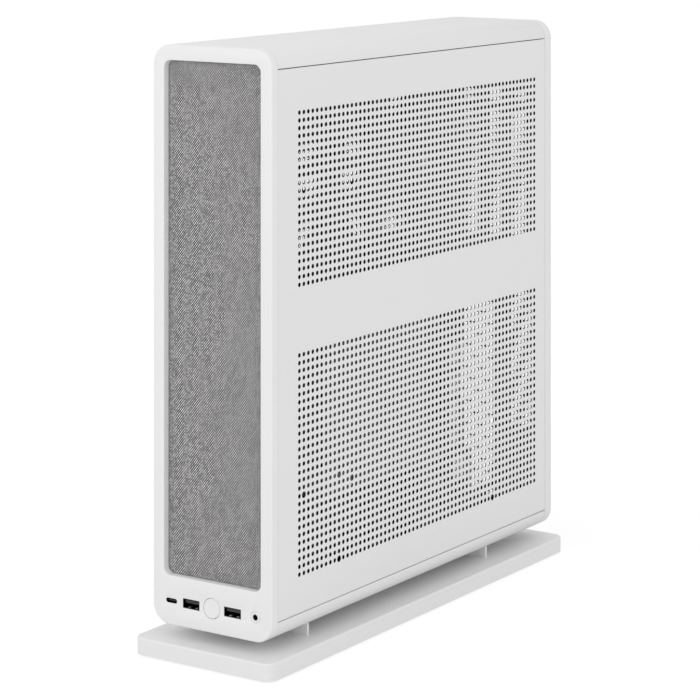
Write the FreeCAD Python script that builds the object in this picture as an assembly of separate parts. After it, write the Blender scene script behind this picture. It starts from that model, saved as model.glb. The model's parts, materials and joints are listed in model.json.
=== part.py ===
"""Slim vertical desktop computer tower on a foot plate, as an assembly of separate pieces.

Millimetres. +Z is up, the front faces -Y and the origin is on the floor under the middle of the foot.
"""
import FreeCAD
import Part
import math
import os

V = FreeCAD.Vector
X_AXIS = V(1, 0, 0)
Y_AXIS = V(0, 1, 0)
Z_AXIS = V(0, 0, 1)

# ---- driving dimensions -------------------------------------------------------------------
case_w = 95.0
case_d = 355.0
case_h = 375.0
corner_r = 13.0
shell_t = 2.0
panel_t = 1.5
seam = 0.6
sheet_t = 1.2
seat_gap = 0.2
run_gap = 0.3

# foot
foot_w = 110.0
foot_d = 374.0
foot_t = 11.0
foot_r = 8.0
foot_edge_r = 1.2
foot_ahead = 12.0
pad_t = 1.0
pad_r = 8.0
riser_h = 8.0
riser_t = 2.0
riser_w = 76.0
riser_flange = 14.0
riser_flange_inset = 8.0
foot_screw_x = 22.0
foot_screw_d = 6.0
foot_screw_h = 2.0
pad_inset_x = 18.0
pad_inset_y = 24.0
riser_first = 52.0
riser_pitch = 224.0

# front cover
bezel_d = 6.4
bezel_wall = 3.0
window_w = 77.2
window_h = 333.0
window_r = 5.0
window_below_top = 10.0
fabric_recess = 4.5
fabric_t = 0.6
fabric_frame_t = 1.8
fabric_frame_rim = 6.0
front_gap = 22.0
frame_rows = 14
frame_rib = 3.0
vent_rows_pitch = 14.0
vent_row_h = 8.0
vent_x = (3.0, 29.0)

# front connectors, in a row
port_height = 15.7
usb_c_x = -32.4
usb_a_x = 16.5
jack_x = 34.4
usb_c_w = 8.8
usb_c_h = 2.9
usb_a_w = 13.2
usb_a_h = 6.0
usb_shell_t = 0.4
usb_depth = 14.0
button_d = 12.8
button_gap = 0.3
button_travel = 1.0
jack_d = 6.8
jack_bore_d = 3.6
jack_depth = 14.0
pcb_t = 1.6
front_pcb_drop = 3.6
port_set_back = 0.3
front_plug_h = 8.0
front_lead_side = 21.5

# perforated side panels: the slots have the open area of round holes on a square grid
hole_d = 2.75
hole_pitch = 5.0
hole_columns = 61
hole_first = 30.0
upper_rows = 23
lower_rows = 29
field_top = 29.0
field_gap_rows = 8
mounting_hole_d = 4.3
slot_w = math.pi * hole_d ** 2 / 4.0 / hole_pitch

# panel studs and clips
stud_d = 4.0
stud_fit = 0.05
stud_l = 9.0
clip_size = 9.0
rail_gap = 0.5
rail_h = 20.0

# rear
rear_frame_d = 9.0
rear_frame_t = 3.0
rear_recess = 4.0
shelf_height = 199.0
slot_pitch = 20.32
slot_centre_x = 2.5
slot_window_w = 12.0
slot_window_h = 92.0
slot_above_shelf = 15.0
slot_cover_w = 18.4
slot_cover_t = 0.8
slit_h = 3.2
slit_pitch = 5.5
io_w = 44.45
io_h = 158.75
io_above_floor = 15.2
io_off_board = 17.2
io_rows = 18
io_bar_t = 1.2
io_edge = 2.5
grille_w = 18.0
grille_off_psu = 18.5
grille_rows = 18
grille_slot_h = 3.0
grille_pitch = 6.0
grille_above_floor = 73.0
upper_slot_h = 18.0
upper_slot_gap = 8.0
strip_w = 2.0
strip_pitches = 1.7

# power supply
psu_x = 63.5
psu_y = 125.0
psu_z = 100.0
psu_side_gap = 3.5
psu_front = 65.0
psu_lift = 78.0
psu_wall = 1.0
psu_fan_d = 84.0
psu_fan_t = 12.0
psu_plug_in = 15.0
psu_plug_up = 19.0
panel_plate_t = 3.0
switch_w = 12.0
switch_h = 17.0
switch_gap = 0.8
switch_above_plug = 30.0

# mains lead inside the case
inlet_off_psu = 18.5
inlet_z = 36.0
inlet_w = 27.0
inlet_h = 19.8
inlet_depth = 20.0
inlet_wall = 2.0
inlet_flange = 3.0
inlet_flange_t = 2.5
plug_w = 20.0
plug_h = 25.0
plug_y = 20.0
lead_d = 6.5
bundle_d = 5.0
ribbon_t = 1.0
ribbon_w = 56.0

# mainboard
board_size = 170.0
board_edge_gap = 2.0
board_lift = 10.0
standoff_l = 5.0
standoff_d = 6.0
tray_gap = 2.8
board_hole_inset = 6.5
board_screw_d = 3.0
plug_lift = 1.2
plug_t = 9.6
socket_inset = 2.0
bundle_turn = 34.0
ribbon_off_board = 15.0
ribbon_along = 96.0

# low coolers and fans
socket_h = 4.0
heatsink_size = 90.0
heatsink_base = 3.0
heatsink_fin_h = 10.0
heatsink_fins = 22
fin_t = 0.6
cooler_y = 74.0
cooler_z = 96.0
cpu_fan_size = 92.0
cpu_fan_t = 10.0
fan_size = 140.0
fan_t = 15.0
fan_wall = 2.5
fan_blades = 9
fan_gap = 1.0
fan_first = 20.0
fan_above_shelf = 3.0
blade_t = 1.2
hub_share = 0.34

# ---- values worked out from the above -----------------------------------------------------
half_w = case_w / 2.0
rail_x = half_w - corner_r - rail_gap
y_front = -foot_d / 2.0 + foot_ahead
y_rear = y_front + case_d
z_foot = pad_t + foot_t
z_case = z_foot + riser_h
z_top = z_case + case_h
z_port = z_case + port_height
y_bezel = y_front + bezel_d
y_ring = y_rear - rear_frame_d
y_wall = y_rear - rear_recess
y_wall_in = y_wall - sheet_t
y_chassis = y_bezel + front_gap
y_inner = y_chassis + sheet_t
z_floor = z_case + shell_t + sheet_t
z_roof = z_top - shell_t - sheet_t
z_shelf = z_case + shelf_height
panel_in = half_w - panel_t
tray_x = tray_gap - panel_in
fan_x = fan_gap - panel_in
z_panel_low = z_case + corner_r + seam / 2.0
z_panel_high = z_top - corner_r - seam / 2.0
z_field_top = z_top - corner_r - field_top
y_fabric = y_front + fabric_recess
y_frame = y_fabric + fabric_t
z_window_top = z_top - window_below_top
z_window_low = z_window_top - window_h
z_io = z_case + io_above_floor
psu_x_high = half_w - psu_side_gap - panel_t
psu_x_low = psu_x_high - psu_x
psu_y_low = y_front + psu_front
psu_y_high = psu_y_low + psu_y
psu_z_low = z_case + psu_lift
psu_z_high = psu_z_low + psu_z
grille_x = psu_x_high - grille_off_psu
inlet_x = psu_x_high - inlet_off_psu
tray_face = tray_x + sheet_t
board_x = tray_face + standoff_l
board_face = board_x + pcb_t
io_centre_x = board_face + io_off_board
board_y_high = y_wall_in - board_edge_gap
board_y_low = board_y_high - board_size
board_z_low = z_case + board_lift
cooler_cy = board_y_low + cooler_y
cooler_cz = board_z_low + cooler_z
z_front_pcb = z_port - front_pcb_drop
fan_cz = z_shelf + fan_above_shelf + fan_size / 2.0
y_port = y_front + port_set_back
psu_cy = (psu_y_low + psu_y_high) / 2.0
psu_cz = (psu_z_low + psu_z_high) / 2.0
psu_plug_x = psu_x_high - psu_plug_in
psu_plug_z = psu_z_low + psu_plug_up
switch_z = psu_plug_z + switch_above_plug
switch_y = psu_y_high - 1.0
inlet_cz = z_case + inlet_z
y_inlet_back = y_wall - inlet_depth
y_plug = psu_y_high + panel_plate_t
x_sink = board_face + socket_h
x_fins = x_sink + heatsink_base
x_cpu_fan = x_fins + heatsink_fin_h
plug_x0 = board_face + plug_lift
plug_x1 = plug_x0 + plug_t
y_socket = board_y_low + socket_inset
plug_mid = (plug_x0 + plug_x1) / 2.0
psu_exit_x = plug_mid + bundle_turn
front_lead_x = front_lead_side - half_w
front_lead_z = z_front_pcb + front_plug_h / 2.0
ribbon_x = board_face + ribbon_off_board
ribbon_y = board_y_low + ribbon_along


# ---- shape helpers ------------------------------------------------------------------------
def block(x0, x1, y0, y1, z0, z1):
    """Box between two corners."""
    return Part.makeBox(x1 - x0, y1 - y0, z1 - z0, V(x0, y0, z0))


def rod(start, axis, length, diameter):
    """Cylinder from a point along an axis."""
    return Part.makeCylinder(diameter / 2.0, length, start, axis)


def tube(start, axis, length, outer_d, inner_d):
    """Pipe from a point along an axis."""
    return rod(start, axis, length, outer_d).cut(rod(start, axis, length, inner_d))


def edges_along(shape, axis):
    """Straight edges of a shape that run along one axis."""
    found = []
    for edge in shape.Edges:
        if len(edge.Vertexes) == 2:
            run = edge.Vertexes[1].Point.sub(edge.Vertexes[0].Point)
            if run.Length > 0 and run.cross(axis).Length < 1e-6 * run.Length:
                found.append(edge)
    return found


def rounded(shape, axis, radius):
    """Shape with its edges along one axis rounded."""
    return shape.makeFillet(radius, edges_along(shape, axis))


def outline(inset, y0, y1):
    """Solid of the case's rounded outline, drawn in by an inset."""
    solid = block(-half_w + inset, half_w - inset, y0, y1, z_case + inset, z_top - inset)
    return rounded(solid, Y_AXIS, corner_r - inset)


def window(grow, y0, y1):
    """Solid of the rounded front window, grown on all sides."""
    solid = block(-window_w / 2.0 - grow, window_w / 2.0 + grow, y0, y1,
                  z_window_low - grow, z_window_top + grow)
    return rounded(solid, Y_AXIS, window_r + grow)


def joined(solids):
    """One shape holding separate solids."""
    return Part.makeCompound(solids)


def cut_all(shape, tools):
    """Shape with a list of tools cut out."""
    return shape.cut(Part.makeCompound(tools)) if tools else shape


def fused(solids):
    """One solid from touching or overlapping solids."""
    return solids[0].multiFuse(solids[1:]).removeSplitter()


def bend_radius(before, corner, after):
    """Largest even bend at a corner of a route."""
    run_in = corner.sub(before)
    run_out = after.sub(corner)
    turn = run_in.getAngle(run_out)
    return 0.45 * min(run_in.Length, run_out.Length) / math.tan(turn / 2.0)


def cable(name, points, diameter):
    """Round cable along straight runs joined by tangent arcs."""
    edges = []
    at = points[0]
    radii = []
    for before, corner, after in zip(points, points[1:], points[2:]):
        run_in = corner.sub(before).normalize()
        run_out = after.sub(corner).normalize()
        turn = run_in.getAngle(run_out)
        radius = bend_radius(before, corner, after)
        reach = radius * math.tan(turn / 2.0)
        begin = corner.sub(V(run_in).multiply(reach))
        end = corner.add(V(run_out).multiply(reach))
        inward = V(run_out).sub(run_in).normalize()
        middle = corner.add(inward.multiply(radius / math.cos(turn / 2.0) - radius))
        edges.append(Part.LineSegment(at, begin).toShape())
        edges.append(Part.Arc(begin, middle, end).toShape())
        at = end
        radii.append(radius)
    edges.append(Part.LineSegment(at, points[-1]).toShape())
    path = Part.Wire(edges)
    start_run = points[1].sub(points[0])
    ring = Part.Wire([Part.makeCircle(diameter / 2.0, points[0], start_run)])
    solid = path.makePipeShell([ring], True, False)
    ideal = math.pi * diameter ** 2 / 4.0 * path.Length
    print(name, "bends", [round(r, 1) for r in radii], "length", round(path.Length, 1),
          "volume ratio", round(solid.Volume / ideal, 4))
    return solid


def rotor(centre, diameter, thickness, blades):
    """Fan rotor on an X axis: a hub with swept flat blades."""
    hub_r = diameter * hub_share / 2.0
    tip_r = diameter / 2.0
    hub = rod(centre, X_AXIS, thickness, 2.0 * hub_r)
    solids = [hub]
    chord = thickness * 0.8
    for i in range(blades):
        blade = Part.makeBox(chord, blade_t, tip_r - hub_r + 1.0,
                             V(-chord / 2.0, -blade_t / 2.0, hub_r - 1.0))
        blade.rotate(V(0, 0, 0), Z_AXIS, 38.0)
        blade.rotate(V(0, 0, 0), X_AXIS, 360.0 * i / blades)
        blade.translate(centre.add(V(thickness / 2.0, 0, 0)))
        solids.append(blade)
    bore = rod(centre.sub(V(1, 0, 0)), X_AXIS, thickness * 0.7 + 1.0, 4.0 + 2.0 * stud_fit)
    return fused(solids).cut(bore)


def fan_frame(centre, size, thickness, bore_d):
    """Square fan frame on an X axis, with a motor seat on four struts and the spindle."""
    cy = centre.y
    cz = centre.z
    body = block(centre.x, centre.x + thickness, cy - size / 2.0, cy + size / 2.0,
                 cz - size / 2.0, cz + size / 2.0)
    body = rounded(body, X_AXIS, size * 0.05)
    body = body.cut(rod(centre.sub(V(1, 0, 0)), X_AXIS, thickness + 2.0, bore_d))
    inset = size * 0.054
    for sy in (-1, 1):
        for sz in (-1, 1):
            corner = V(centre.x - 1.0, cy + sy * (size / 2.0 - inset), cz + sz * (size / 2.0 - inset))
            body = body.cut(rod(corner, X_AXIS, thickness + 2.0, size * 0.032))
    seat = rod(centre, X_AXIS, 1.5, bore_d * hub_share)
    strut = block(centre.x, centre.x + 1.5, cy - bore_d / 2.0 - 1.0, cy + bore_d / 2.0 + 1.0, cz - 2.0,
                  cz + 2.0)
    cross = strut.copy()
    cross.rotate(V(centre.x, cy, cz), X_AXIS, 90.0)
    spindle = rod(centre, X_AXIS, thickness * 0.6, 4.0)
    return fused([body, seat, strut, cross, spindle])


def hex_bar(start, axis, length, across):
    """Hexagonal bar from a point along +X or +Z."""
    corners = [V(across / math.sqrt(3.0), 0, 0)]
    turn = FreeCAD.Rotation(Z_AXIS, 60.0)
    for _ in range(6):
        corners.append(turn.multVec(corners[-1]))
    bar = Part.Face(Part.makePolygon(corners)).extrude(V(0, 0, length))
    bar.Placement = FreeCAD.Placement(start, FreeCAD.Rotation(Z_AXIS, axis))
    return bar


def screw(head, axis, length, diameter, head_d, head_t):
    """Pan head screw: its head lies behind the point, its shank runs along the axis."""
    back = V(axis).multiply(-head_t)
    body = fused([rod(head, axis, length, diameter), rod(head.add(back), axis, head_t, head_d)])
    socket = hex_bar(head.add(back), axis, head_t * 0.6, head_d * 0.45)
    return body.cut(socket)


# ---- outer shells -------------------------------------------------------------------------
def shell_ring():
    """Closed wall of the case between the front cover and the rear frame."""
    y0 = y_bezel + run_gap
    y1 = y_ring - run_gap
    return outline(0.0, y0, y1).cut(outline(shell_t, y0 - 1.0, y1 + 1.0))


def top_shell():
    band = block(-half_w, half_w, y_front, y_rear, z_panel_high + seam, z_top)
    return shell_ring().common(band)


def bottom_shell():
    band = block(-half_w, half_w, y_front, y_rear, z_case, z_panel_low - seam)
    return shell_ring().common(band)


def rear_frame():
    return outline(0.0, y_ring, y_rear).cut(outline(rear_frame_t, y_ring - 1.0, y_rear + 1.0))


def field_slots(x0, x1, first_row, rows):
    """Tools for one perforated field: a narrow slot down each column of holes."""
    z_high = z_field_top - first_row * hole_pitch + hole_d / 2.0
    z_low = z_high - (rows - 1) * hole_pitch - hole_d
    tools = []
    for column in range(hole_columns):
        y = y_front + hole_first + column * hole_pitch
        tools.append(block(x0, x1, y - slot_w / 2.0, y + slot_w / 2.0, z_low, z_high))
    return tools


def screw_holes(x0, length):
    """Tools for the larger holes, at the corners of two mounting rectangles."""
    tools = []
    for columns, rows in (((1, 12), (10, 49)), ((9, 48), (48, 59))):
        for column in columns:
            for row in rows:
                y = y_front + hole_first + column * hole_pitch
                z = z_field_top - row * hole_pitch
                tools.append(rod(V(x0, y, z), X_AXIS, length, mounting_hole_d))
    return tools


def side_panel(side):
    """Perforated side panel, on +X for side 1 and on -X for side -1."""
    x0, x1 = sorted((side * panel_in, side * half_w))
    plate = block(x0, x1, y_bezel + run_gap, y_ring - run_gap, z_panel_low, z_panel_high)
    second = upper_rows + field_gap_rows
    tools = field_slots(x0 - 1.0, x1 + 1.0, 0, upper_rows)
    tools += field_slots(x0 - 1.0, x1 + 1.0, second, lower_rows)
    return cut_all(cut_all(plate, tools), screw_holes(x0 - 1.0, panel_t + 2.0))


def clip_places():
    """Places along Y and Z of the studs and clips of one side panel."""
    y_first = y_inner + clip_size
    y_mid = -board_size / 8.0
    y_last = y_wall_in - clip_size
    z_low = z_panel_low + clip_size / 2.0 + seat_gap
    z_high = z_panel_high - clip_size / 2.0 - seat_gap
    z_mid = z_shelf + sheet_t + clip_size / 2.0
    return [(y_first, z_low), (y_mid, z_low), (y_last, z_mid),
            (y_first, z_high), (y_mid, z_high), (y_last, z_high)]


def panel_studs(side):
    inward = V(-side, 0, 0)
    return joined([rod(V(side * panel_in, y, z), inward, stud_l, stud_d) for y, z in clip_places()])


def panel_clips():
    clips = []
    for side in (-1, 1):
        x0, x1 = sorted((side * rail_x, side * (panel_in - seat_gap)))
        for y, z in clip_places():
            half = clip_size / 2.0
            clip = block(x0, x1, y - half, y + half, z - half, z + half)
            bore = rod(V(side * panel_in, y, z), V(-side, 0, 0), stud_l + 1.0, stud_d + 2.0 * stud_fit)
            clips.append(clip.cut(bore))
    return joined(clips)


# ---- foot ---------------------------------------------------------------------------------
def foot_plate():
    plate = block(-foot_w / 2.0, foot_w / 2.0, -foot_d / 2.0, foot_d / 2.0, pad_t, z_foot)
    plate = rounded(plate, Z_AXIS, foot_r)
    top = [e for e in plate.Edges if min(v.Point.z for v in e.Vertexes) > z_foot - 1e-3]
    return plate.makeFillet(foot_edge_r, top)


def riser_rows():
    return [y_front + riser_first, y_front + riser_first + riser_pitch]


def foot_risers():
    """Folded Z brackets that carry the case above the foot."""
    risers = []
    for y in riser_rows():
        web = block(-riser_w / 2.0, riser_w / 2.0, y, y + riser_t, z_foot, z_case)
        half = riser_w / 2.0 - riser_flange_inset
        low = block(-half, half, y, y + riser_flange, z_foot, z_foot + riser_t)
        high = block(-rail_x, rail_x, y - riser_flange + riser_t, y + riser_t, z_case - riser_t, z_case)
        risers.append(fused([web, low, high]))
    return joined(risers)


def foot_pads():
    pads = []
    for x in (-1, 1):
        for y in (-1, 1):
            start = V(x * (foot_w / 2.0 - pad_inset_x), y * (foot_d / 2.0 - pad_inset_y), 0)
            pads.append(rod(start, Z_AXIS, pad_t, 2.0 * pad_r))
    return joined(pads)


def foot_screws():
    """Screws through the lower flanges, their heads standing on the flange."""
    screws = []
    for y in riser_rows():
        for x in (-foot_screw_x, foot_screw_x):
            at = V(x, y + riser_t + (riser_flange - riser_t) / 2.0, z_foot + riser_t)
            head = rod(at, Z_AXIS, foot_screw_h, foot_screw_d)
            socket = hex_bar(at.add(V(0, 0, foot_screw_h / 2.0)), Z_AXIS, foot_screw_h,
                             foot_screw_d / 2.0)
            screws.append(head.cut(socket))
    return joined(screws)


# ---- front cover --------------------------------------------------------------------------
def port_cuts(grow):
    """Tools for the openings of the front connectors and the power button."""
    y0 = y_front - 1.0
    y1 = y_bezel + 1.0
    usb_c = block(usb_c_x - usb_c_w / 2.0 - grow, usb_c_x + usb_c_w / 2.0 + grow, y0, y1,
                  z_port - usb_c_h / 2.0 - grow, z_port + usb_c_h / 2.0 + grow)
    tools = [rounded(usb_c, Y_AXIS, usb_c_h / 2.0 + grow - 0.01)]
    for x in (-usb_a_x, usb_a_x):
        tools.append(block(x - usb_a_w / 2.0 - grow, x + usb_a_w / 2.0 + grow, y0, y1,
                           z_port - usb_a_h / 2.0 - grow, z_port + usb_a_h / 2.0 + grow))
    tools.append(rod(V(0, y0, z_port), Y_AXIS, y1 - y0, button_d + 2.0 * button_gap))
    tools.append(rod(V(jack_x, y0, z_port), Y_AXIS, y1 - y0, jack_d + 2.0 * grow))
    return tools


def front_bezel():
    body = outline(0.0, y_front, y_bezel)
    pocket = block(-half_w + bezel_wall, half_w - bezel_wall, y_front + bezel_wall, y_bezel + 1.0,
                   z_case + bezel_wall, z_window_low - bezel_wall)
    pocket = rounded(pocket, Y_AXIS, corner_r - bezel_wall)
    return cut_all(body, [window(0.0, y_front - 1.0, y_bezel + 1.0), pocket] + port_cuts(0.1))


def front_fabric():
    return window(-seat_gap, y_fabric, y_frame)


def fabric_frame():
    """Stiff grid that the fabric is stretched over."""
    y1 = y_frame + fabric_frame_t
    body = window(-seat_gap, y_frame, y1)
    reach = window_w / 2.0 - fabric_frame_rim
    step = (window_h - fabric_frame_rim) / frame_rows
    tools = []
    for row in range(frame_rows):
        z0 = z_window_low + fabric_frame_rim + row * step
        z1 = z0 + step - frame_rib
        for x0, x1 in ((-reach, -frame_rib / 2.0), (frame_rib / 2.0, reach)):
            tools.append(block(x0, x1, y_frame - 1.0, y1 + 1.0, z0,
                               min(z1, z_window_top - fabric_frame_rim)))
    return cut_all(body, tools)


def cover_places():
    x = window_w / 2.0 - fabric_frame_rim / 2.0 - seat_gap
    return [(sx * x, z) for sx in (-1, 1) for z in (z_window_low + 28.0, z_window_top - 28.0)]


def cover_studs():
    start = y_frame + fabric_frame_t
    end = y_chassis - 3.0
    return joined([rod(V(x, start, z), Y_AXIS, end - start, stud_d) for x, z in cover_places()])


def cover_clips():
    clips = []
    half = clip_size / 2.0
    for x, z in cover_places():
        clip = block(x - half, x + half, y_chassis - clip_size, y_chassis, z - half, z + half)
        bore = rod(V(x, y_chassis - clip_size - 1.0, z), Y_AXIS, clip_size, stud_d + 2.0 * stud_fit)
        clips.append(clip.cut(bore))
    return joined(clips)


# ---- front connectors ---------------------------------------------------------------------


def front_board():
    y1 = y_chassis - 1.0
    plate = block(-half_w + 6.0, half_w - 6.0, y_bezel + 0.5, y1, z_front_pcb - pcb_t, z_front_pcb)
    return plate


def front_board_posts():
    posts = []
    for x in (-36.0, 36.0):
        for y in (y_bezel + 6.0, y_chassis - 6.0):
            posts.append(hex_bar(V(x, y, z_floor), Z_AXIS, z_front_pcb - pcb_t - z_floor, 5.0))
    return joined(posts)


def usb_a_shell(x, y0, y1, z):
    """Metal shell of a flat socket, open at its -Y mouth."""
    outer = block(x - usb_a_w / 2.0, x + usb_a_w / 2.0, y0, y1, z - usb_a_h / 2.0, z + usb_a_h / 2.0)
    inner = block(x - usb_a_w / 2.0 + usb_shell_t, x + usb_a_w / 2.0 - usb_shell_t, y0 - 1.0,
                  y1 - usb_shell_t,
                  z - usb_a_h / 2.0 + usb_shell_t, z + usb_a_h / 2.0 - usb_shell_t)
    return outer.cut(inner)


def front_usb_shells():
    return joined([usb_a_shell(x, y_port, y_port + usb_depth, z_port) for x in (-usb_a_x, usb_a_x)])


def front_usb_tongues():
    z1 = z_port + usb_a_h / 2.0 - usb_shell_t - 0.6
    tongues = []
    for x in (-usb_a_x, usb_a_x):
        tongues.append(block(x - 5.5, x + 5.5, y_port + 1.2, y_port + usb_depth - usb_shell_t, z1 - 1.8,
                             z1))
    return joined(tongues)


def usb_seats():
    """Plastic seats that hold the front sockets up off their board."""
    seats = []
    z_a = z_port - usb_a_h / 2.0
    z_c = z_port - usb_c_h / 2.0
    for x, width, z_high in ((-usb_a_x, usb_a_w, z_a), (usb_a_x, usb_a_w, z_a), (usb_c_x, usb_c_w, z_c)):
        half = width / 2.0 - 1.0
        seats.append(block(x - half, x + half, y_bezel + 1.0, y_port + usb_depth - 1.0, z_front_pcb,
                           z_high))
    return joined(seats)


def front_usb_c_shell():
    w = usb_c_w / 2.0
    h = usb_c_h / 2.0
    outer = rounded(block(usb_c_x - w, usb_c_x + w, y_port, y_port + 9.0, z_port - h, z_port + h),
                    Y_AXIS, h - 0.01)
    t = usb_shell_t * 0.75
    inner = rounded(block(usb_c_x - w + t, usb_c_x + w - t, y_port - 1.0, y_port + 9.0 - t,
                          z_port - h + t, z_port + h - t), Y_AXIS, h - t - 0.01)
    return outer.cut(inner)


def front_usb_c_tongue():
    return block(usb_c_x - 3.3, usb_c_x + 3.3, y_port + 1.0, y_port + 8.7, z_port - 0.35, z_port + 0.35)


def front_jack():
    """Round headphone socket in a square body."""
    nose = rod(V(jack_x, y_front, z_port), Y_AXIS, bezel_d + 1.0, jack_d)
    body = block(jack_x - 3.4, jack_x + 3.4, y_bezel + run_gap, y_front + jack_depth, z_front_pcb,
                 z_port + 3.4)
    bore = rod(V(jack_x, y_front - 1.0, z_port), Y_AXIS, jack_depth, jack_bore_d)
    return fused([nose, body]).cut(bore)


def power_button():
    """Round button with its stem."""
    cap = rod(V(0, y_front, z_port), Y_AXIS, 3.5, button_d)
    stem = rod(V(0, y_front + 3.5, z_port), Y_AXIS, 6.5, 5.0)
    return fused([cap, stem])


def button_switch():
    """Push switch on the front board, its plunger just behind the stem."""
    y0 = y_front + 10.0 + button_travel + 0.1
    body = block(-3.1, 3.1, y0 + 0.6, y0 + 5.0, z_front_pcb, z_port + 3.1)
    plunger = rod(V(0, y0, z_port), Y_AXIS, 0.6, 3.5)
    return fused([body, plunger])


# ---- chassis ------------------------------------------------------------------------------
def base_plate():
    z0 = z_case + shell_t
    y1 = y_ring - seat_gap
    plate = block(-rail_x, rail_x, y_bezel + 1.0, y1, z0, z_floor)
    right = block(rail_x - sheet_t, rail_x, y_inner, y1, z0, z0 + rail_h)
    left = block(-rail_x, -rail_x + sheet_t, y_inner, board_y_low - clip_size, z0, z0 + rail_h)
    return fused([plate, right, left])


def top_plate():
    z1 = z_top - shell_t
    y1 = y_ring - seat_gap
    plate = block(-rail_x, rail_x, y_bezel + 1.0, y1, z_roof, z1)
    flanges = [block(x - sheet_t / 2.0, x + sheet_t / 2.0, y_inner, y1, z1 - rail_h, z1)
               for x in (-rail_x + sheet_t / 2.0, rail_x - sheet_t / 2.0)]
    return fused([plate] + flanges)


def front_wall():
    """Vented wall behind the front cover."""
    plate = outline(shell_t + seat_gap, y_chassis, y_inner)
    plate = plate.common(block(-half_w, half_w, y_chassis, y_inner, z_floor, z_roof))
    rows = int((window_h - 2.0 * vent_rows_pitch) / vent_rows_pitch)
    near, far = vent_x
    tools = []
    for row in range(rows):
        z0 = z_window_low + (row + 1) * vent_rows_pitch
        for x0, x1 in ((-far, -near), (near, far)):
            tools.append(block(x0, x1, y_chassis - 1.0, y_inner + 1.0, z0, z0 + vent_row_h))
    tools.append(rod(V(front_lead_x, y_chassis - 1.0, front_lead_z), Y_AXIS, sheet_t + 2.0, front_plug_h))
    return cut_all(plate, tools)


def slot_rows():
    return [slot_centre_x + i * slot_pitch for i in (-1, 0, 1)]


def rear_wall():
    """Inner rear wall with the card slots, port window, vent grille and inlet hole."""
    y0 = y_wall_in - 1.0
    y1 = y_wall + 1.0
    plate = outline(rear_frame_t + seat_gap, y_wall_in, y_wall)
    z_low = z_shelf + slot_above_shelf
    z_high = z_low + slot_window_h
    half = slot_window_w / 2.0
    tools = []
    for x in slot_rows():
        tools.append(block(x - half, x + half, y0, y1, z_low, z_high))
        z_upper = z_high + upper_slot_gap
        tools.append(block(x - half, x + half, y0, y1, z_upper, z_upper + upper_slot_h))
    gap_x = slot_centre_x - strip_pitches * slot_pitch
    tools.append(block(gap_x - strip_w / 2.0, gap_x + strip_w / 2.0, y0, y1, z_low, z_high))
    tools.append(block(io_centre_x - io_w / 2.0, io_centre_x + io_w / 2.0, y0, y1, z_io, z_io + io_h))
    for row in range(grille_rows):
        z = z_case + grille_above_floor + row * grille_pitch
        tools.append(block(grille_x - grille_w / 2.0, grille_x + grille_w / 2.0, y0, y1, z,
                           z + grille_slot_h))
    reach = inlet_w / 2.0 + seat_gap
    rise = inlet_h / 2.0 + seat_gap
    tools.append(block(inlet_x - reach, inlet_x + reach, y0, y1, inlet_cz - rise, inlet_cz + rise))
    return cut_all(plate, tools)


def slot_covers():
    """Vented covers of the empty card slots, lying on the inside of the rear wall."""
    covers = []
    z_low = z_shelf + slot_above_shelf - 8.0
    height = slot_window_h + 36.0
    half = slot_cover_w / 2.0
    for x in slot_rows():
        cover = block(x - half, x + half, y_wall_in - slot_cover_t, y_wall_in, z_low, z_low + height)
        foot = block(x - half, x + half, y_wall_in - 11.0, y_wall_in, z_low + height,
                     z_low + height + slot_cover_t)
        tools = []
        for row in range(int((height - 16.0) / slit_pitch)):
            z = z_low + 8.0 + row * slit_pitch
            tools.append(block(x - half + 4.0, x + half - 4.0, y_wall_in - 2.0, y_wall_in + 1.0, z,
                               z + slit_h))
        covers.append(cut_all(fused([cover, foot]), tools))
    return joined(covers)


def slot_screws():
    z = z_shelf + slot_above_shelf + slot_window_h + 28.0 + slot_cover_t
    return joined([rod(V(x, y_wall_in - 6.0, z), Z_AXIS, 4.0, 7.0) for x in slot_rows()])


def mid_shelf():
    """Floor between the card bay above and the board and power supply below."""
    reach = half_w - rear_frame_t - seat_gap
    plate = block(-reach, reach, y_inner, y_wall_in, z_shelf, z_shelf + sheet_t)
    half = ribbon_w / 2.0 + 2.0
    ribbon_cut = block(ribbon_x - 4.0, ribbon_x + 5.0, ribbon_y - half, ribbon_y + half,
                       z_shelf - 1.0, z_shelf + 3.0)
    return plate.cut(ribbon_cut)


def board_tray():
    """Upright plate that carries the mainboard and the drive."""
    z0 = z_panel_low - 4.0
    plate = block(tray_x, tray_face, y_inner, y_wall_in, z0, z_shelf)
    tools = []
    grow = clip_size / 2.0 + 0.4
    for y, z in clip_places():
        tools.append(block(tray_x - 1.0, tray_face + 1.0, y - grow, y + grow, z - grow, z + grow))
    centre = V(tray_x - 1.0, psu_cy, psu_cz)
    tools.append(rod(centre, X_AXIS, sheet_t + 2.0, psu_fan_d + 4.0))
    return cut_all(plate, tools)


def psu_shelf():
    """Folded shelf that holds the power supply up off the floor."""
    z1 = psu_z_low
    x1 = rail_x - sheet_t - seat_gap
    top = block(psu_x_low, psu_x_high, psu_y_low, psu_y_high, z1 - sheet_t, z1)
    legs = [block(psu_x_low, x1, y, y + sheet_t, z_floor, z1)
            for y in (psu_y_low, psu_y_high - sheet_t)]
    feet = [block(psu_x_low, x1, y0, y0 + 10.0, z_floor, z_floor + sheet_t)
            for y0 in (psu_y_low, psu_y_high - 10.0)]
    return fused([top] + legs + feet)


# ---- power supply -------------------------------------------------------------------------


def switch_pocket(y0, y1):
    return block(psu_plug_x - switch_w / 2.0 - run_gap, psu_plug_x + switch_w / 2.0 + run_gap, y0, y1,
                 switch_z - switch_h / 2.0 - switch_gap, switch_z + switch_h / 2.0 + switch_gap)


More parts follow.
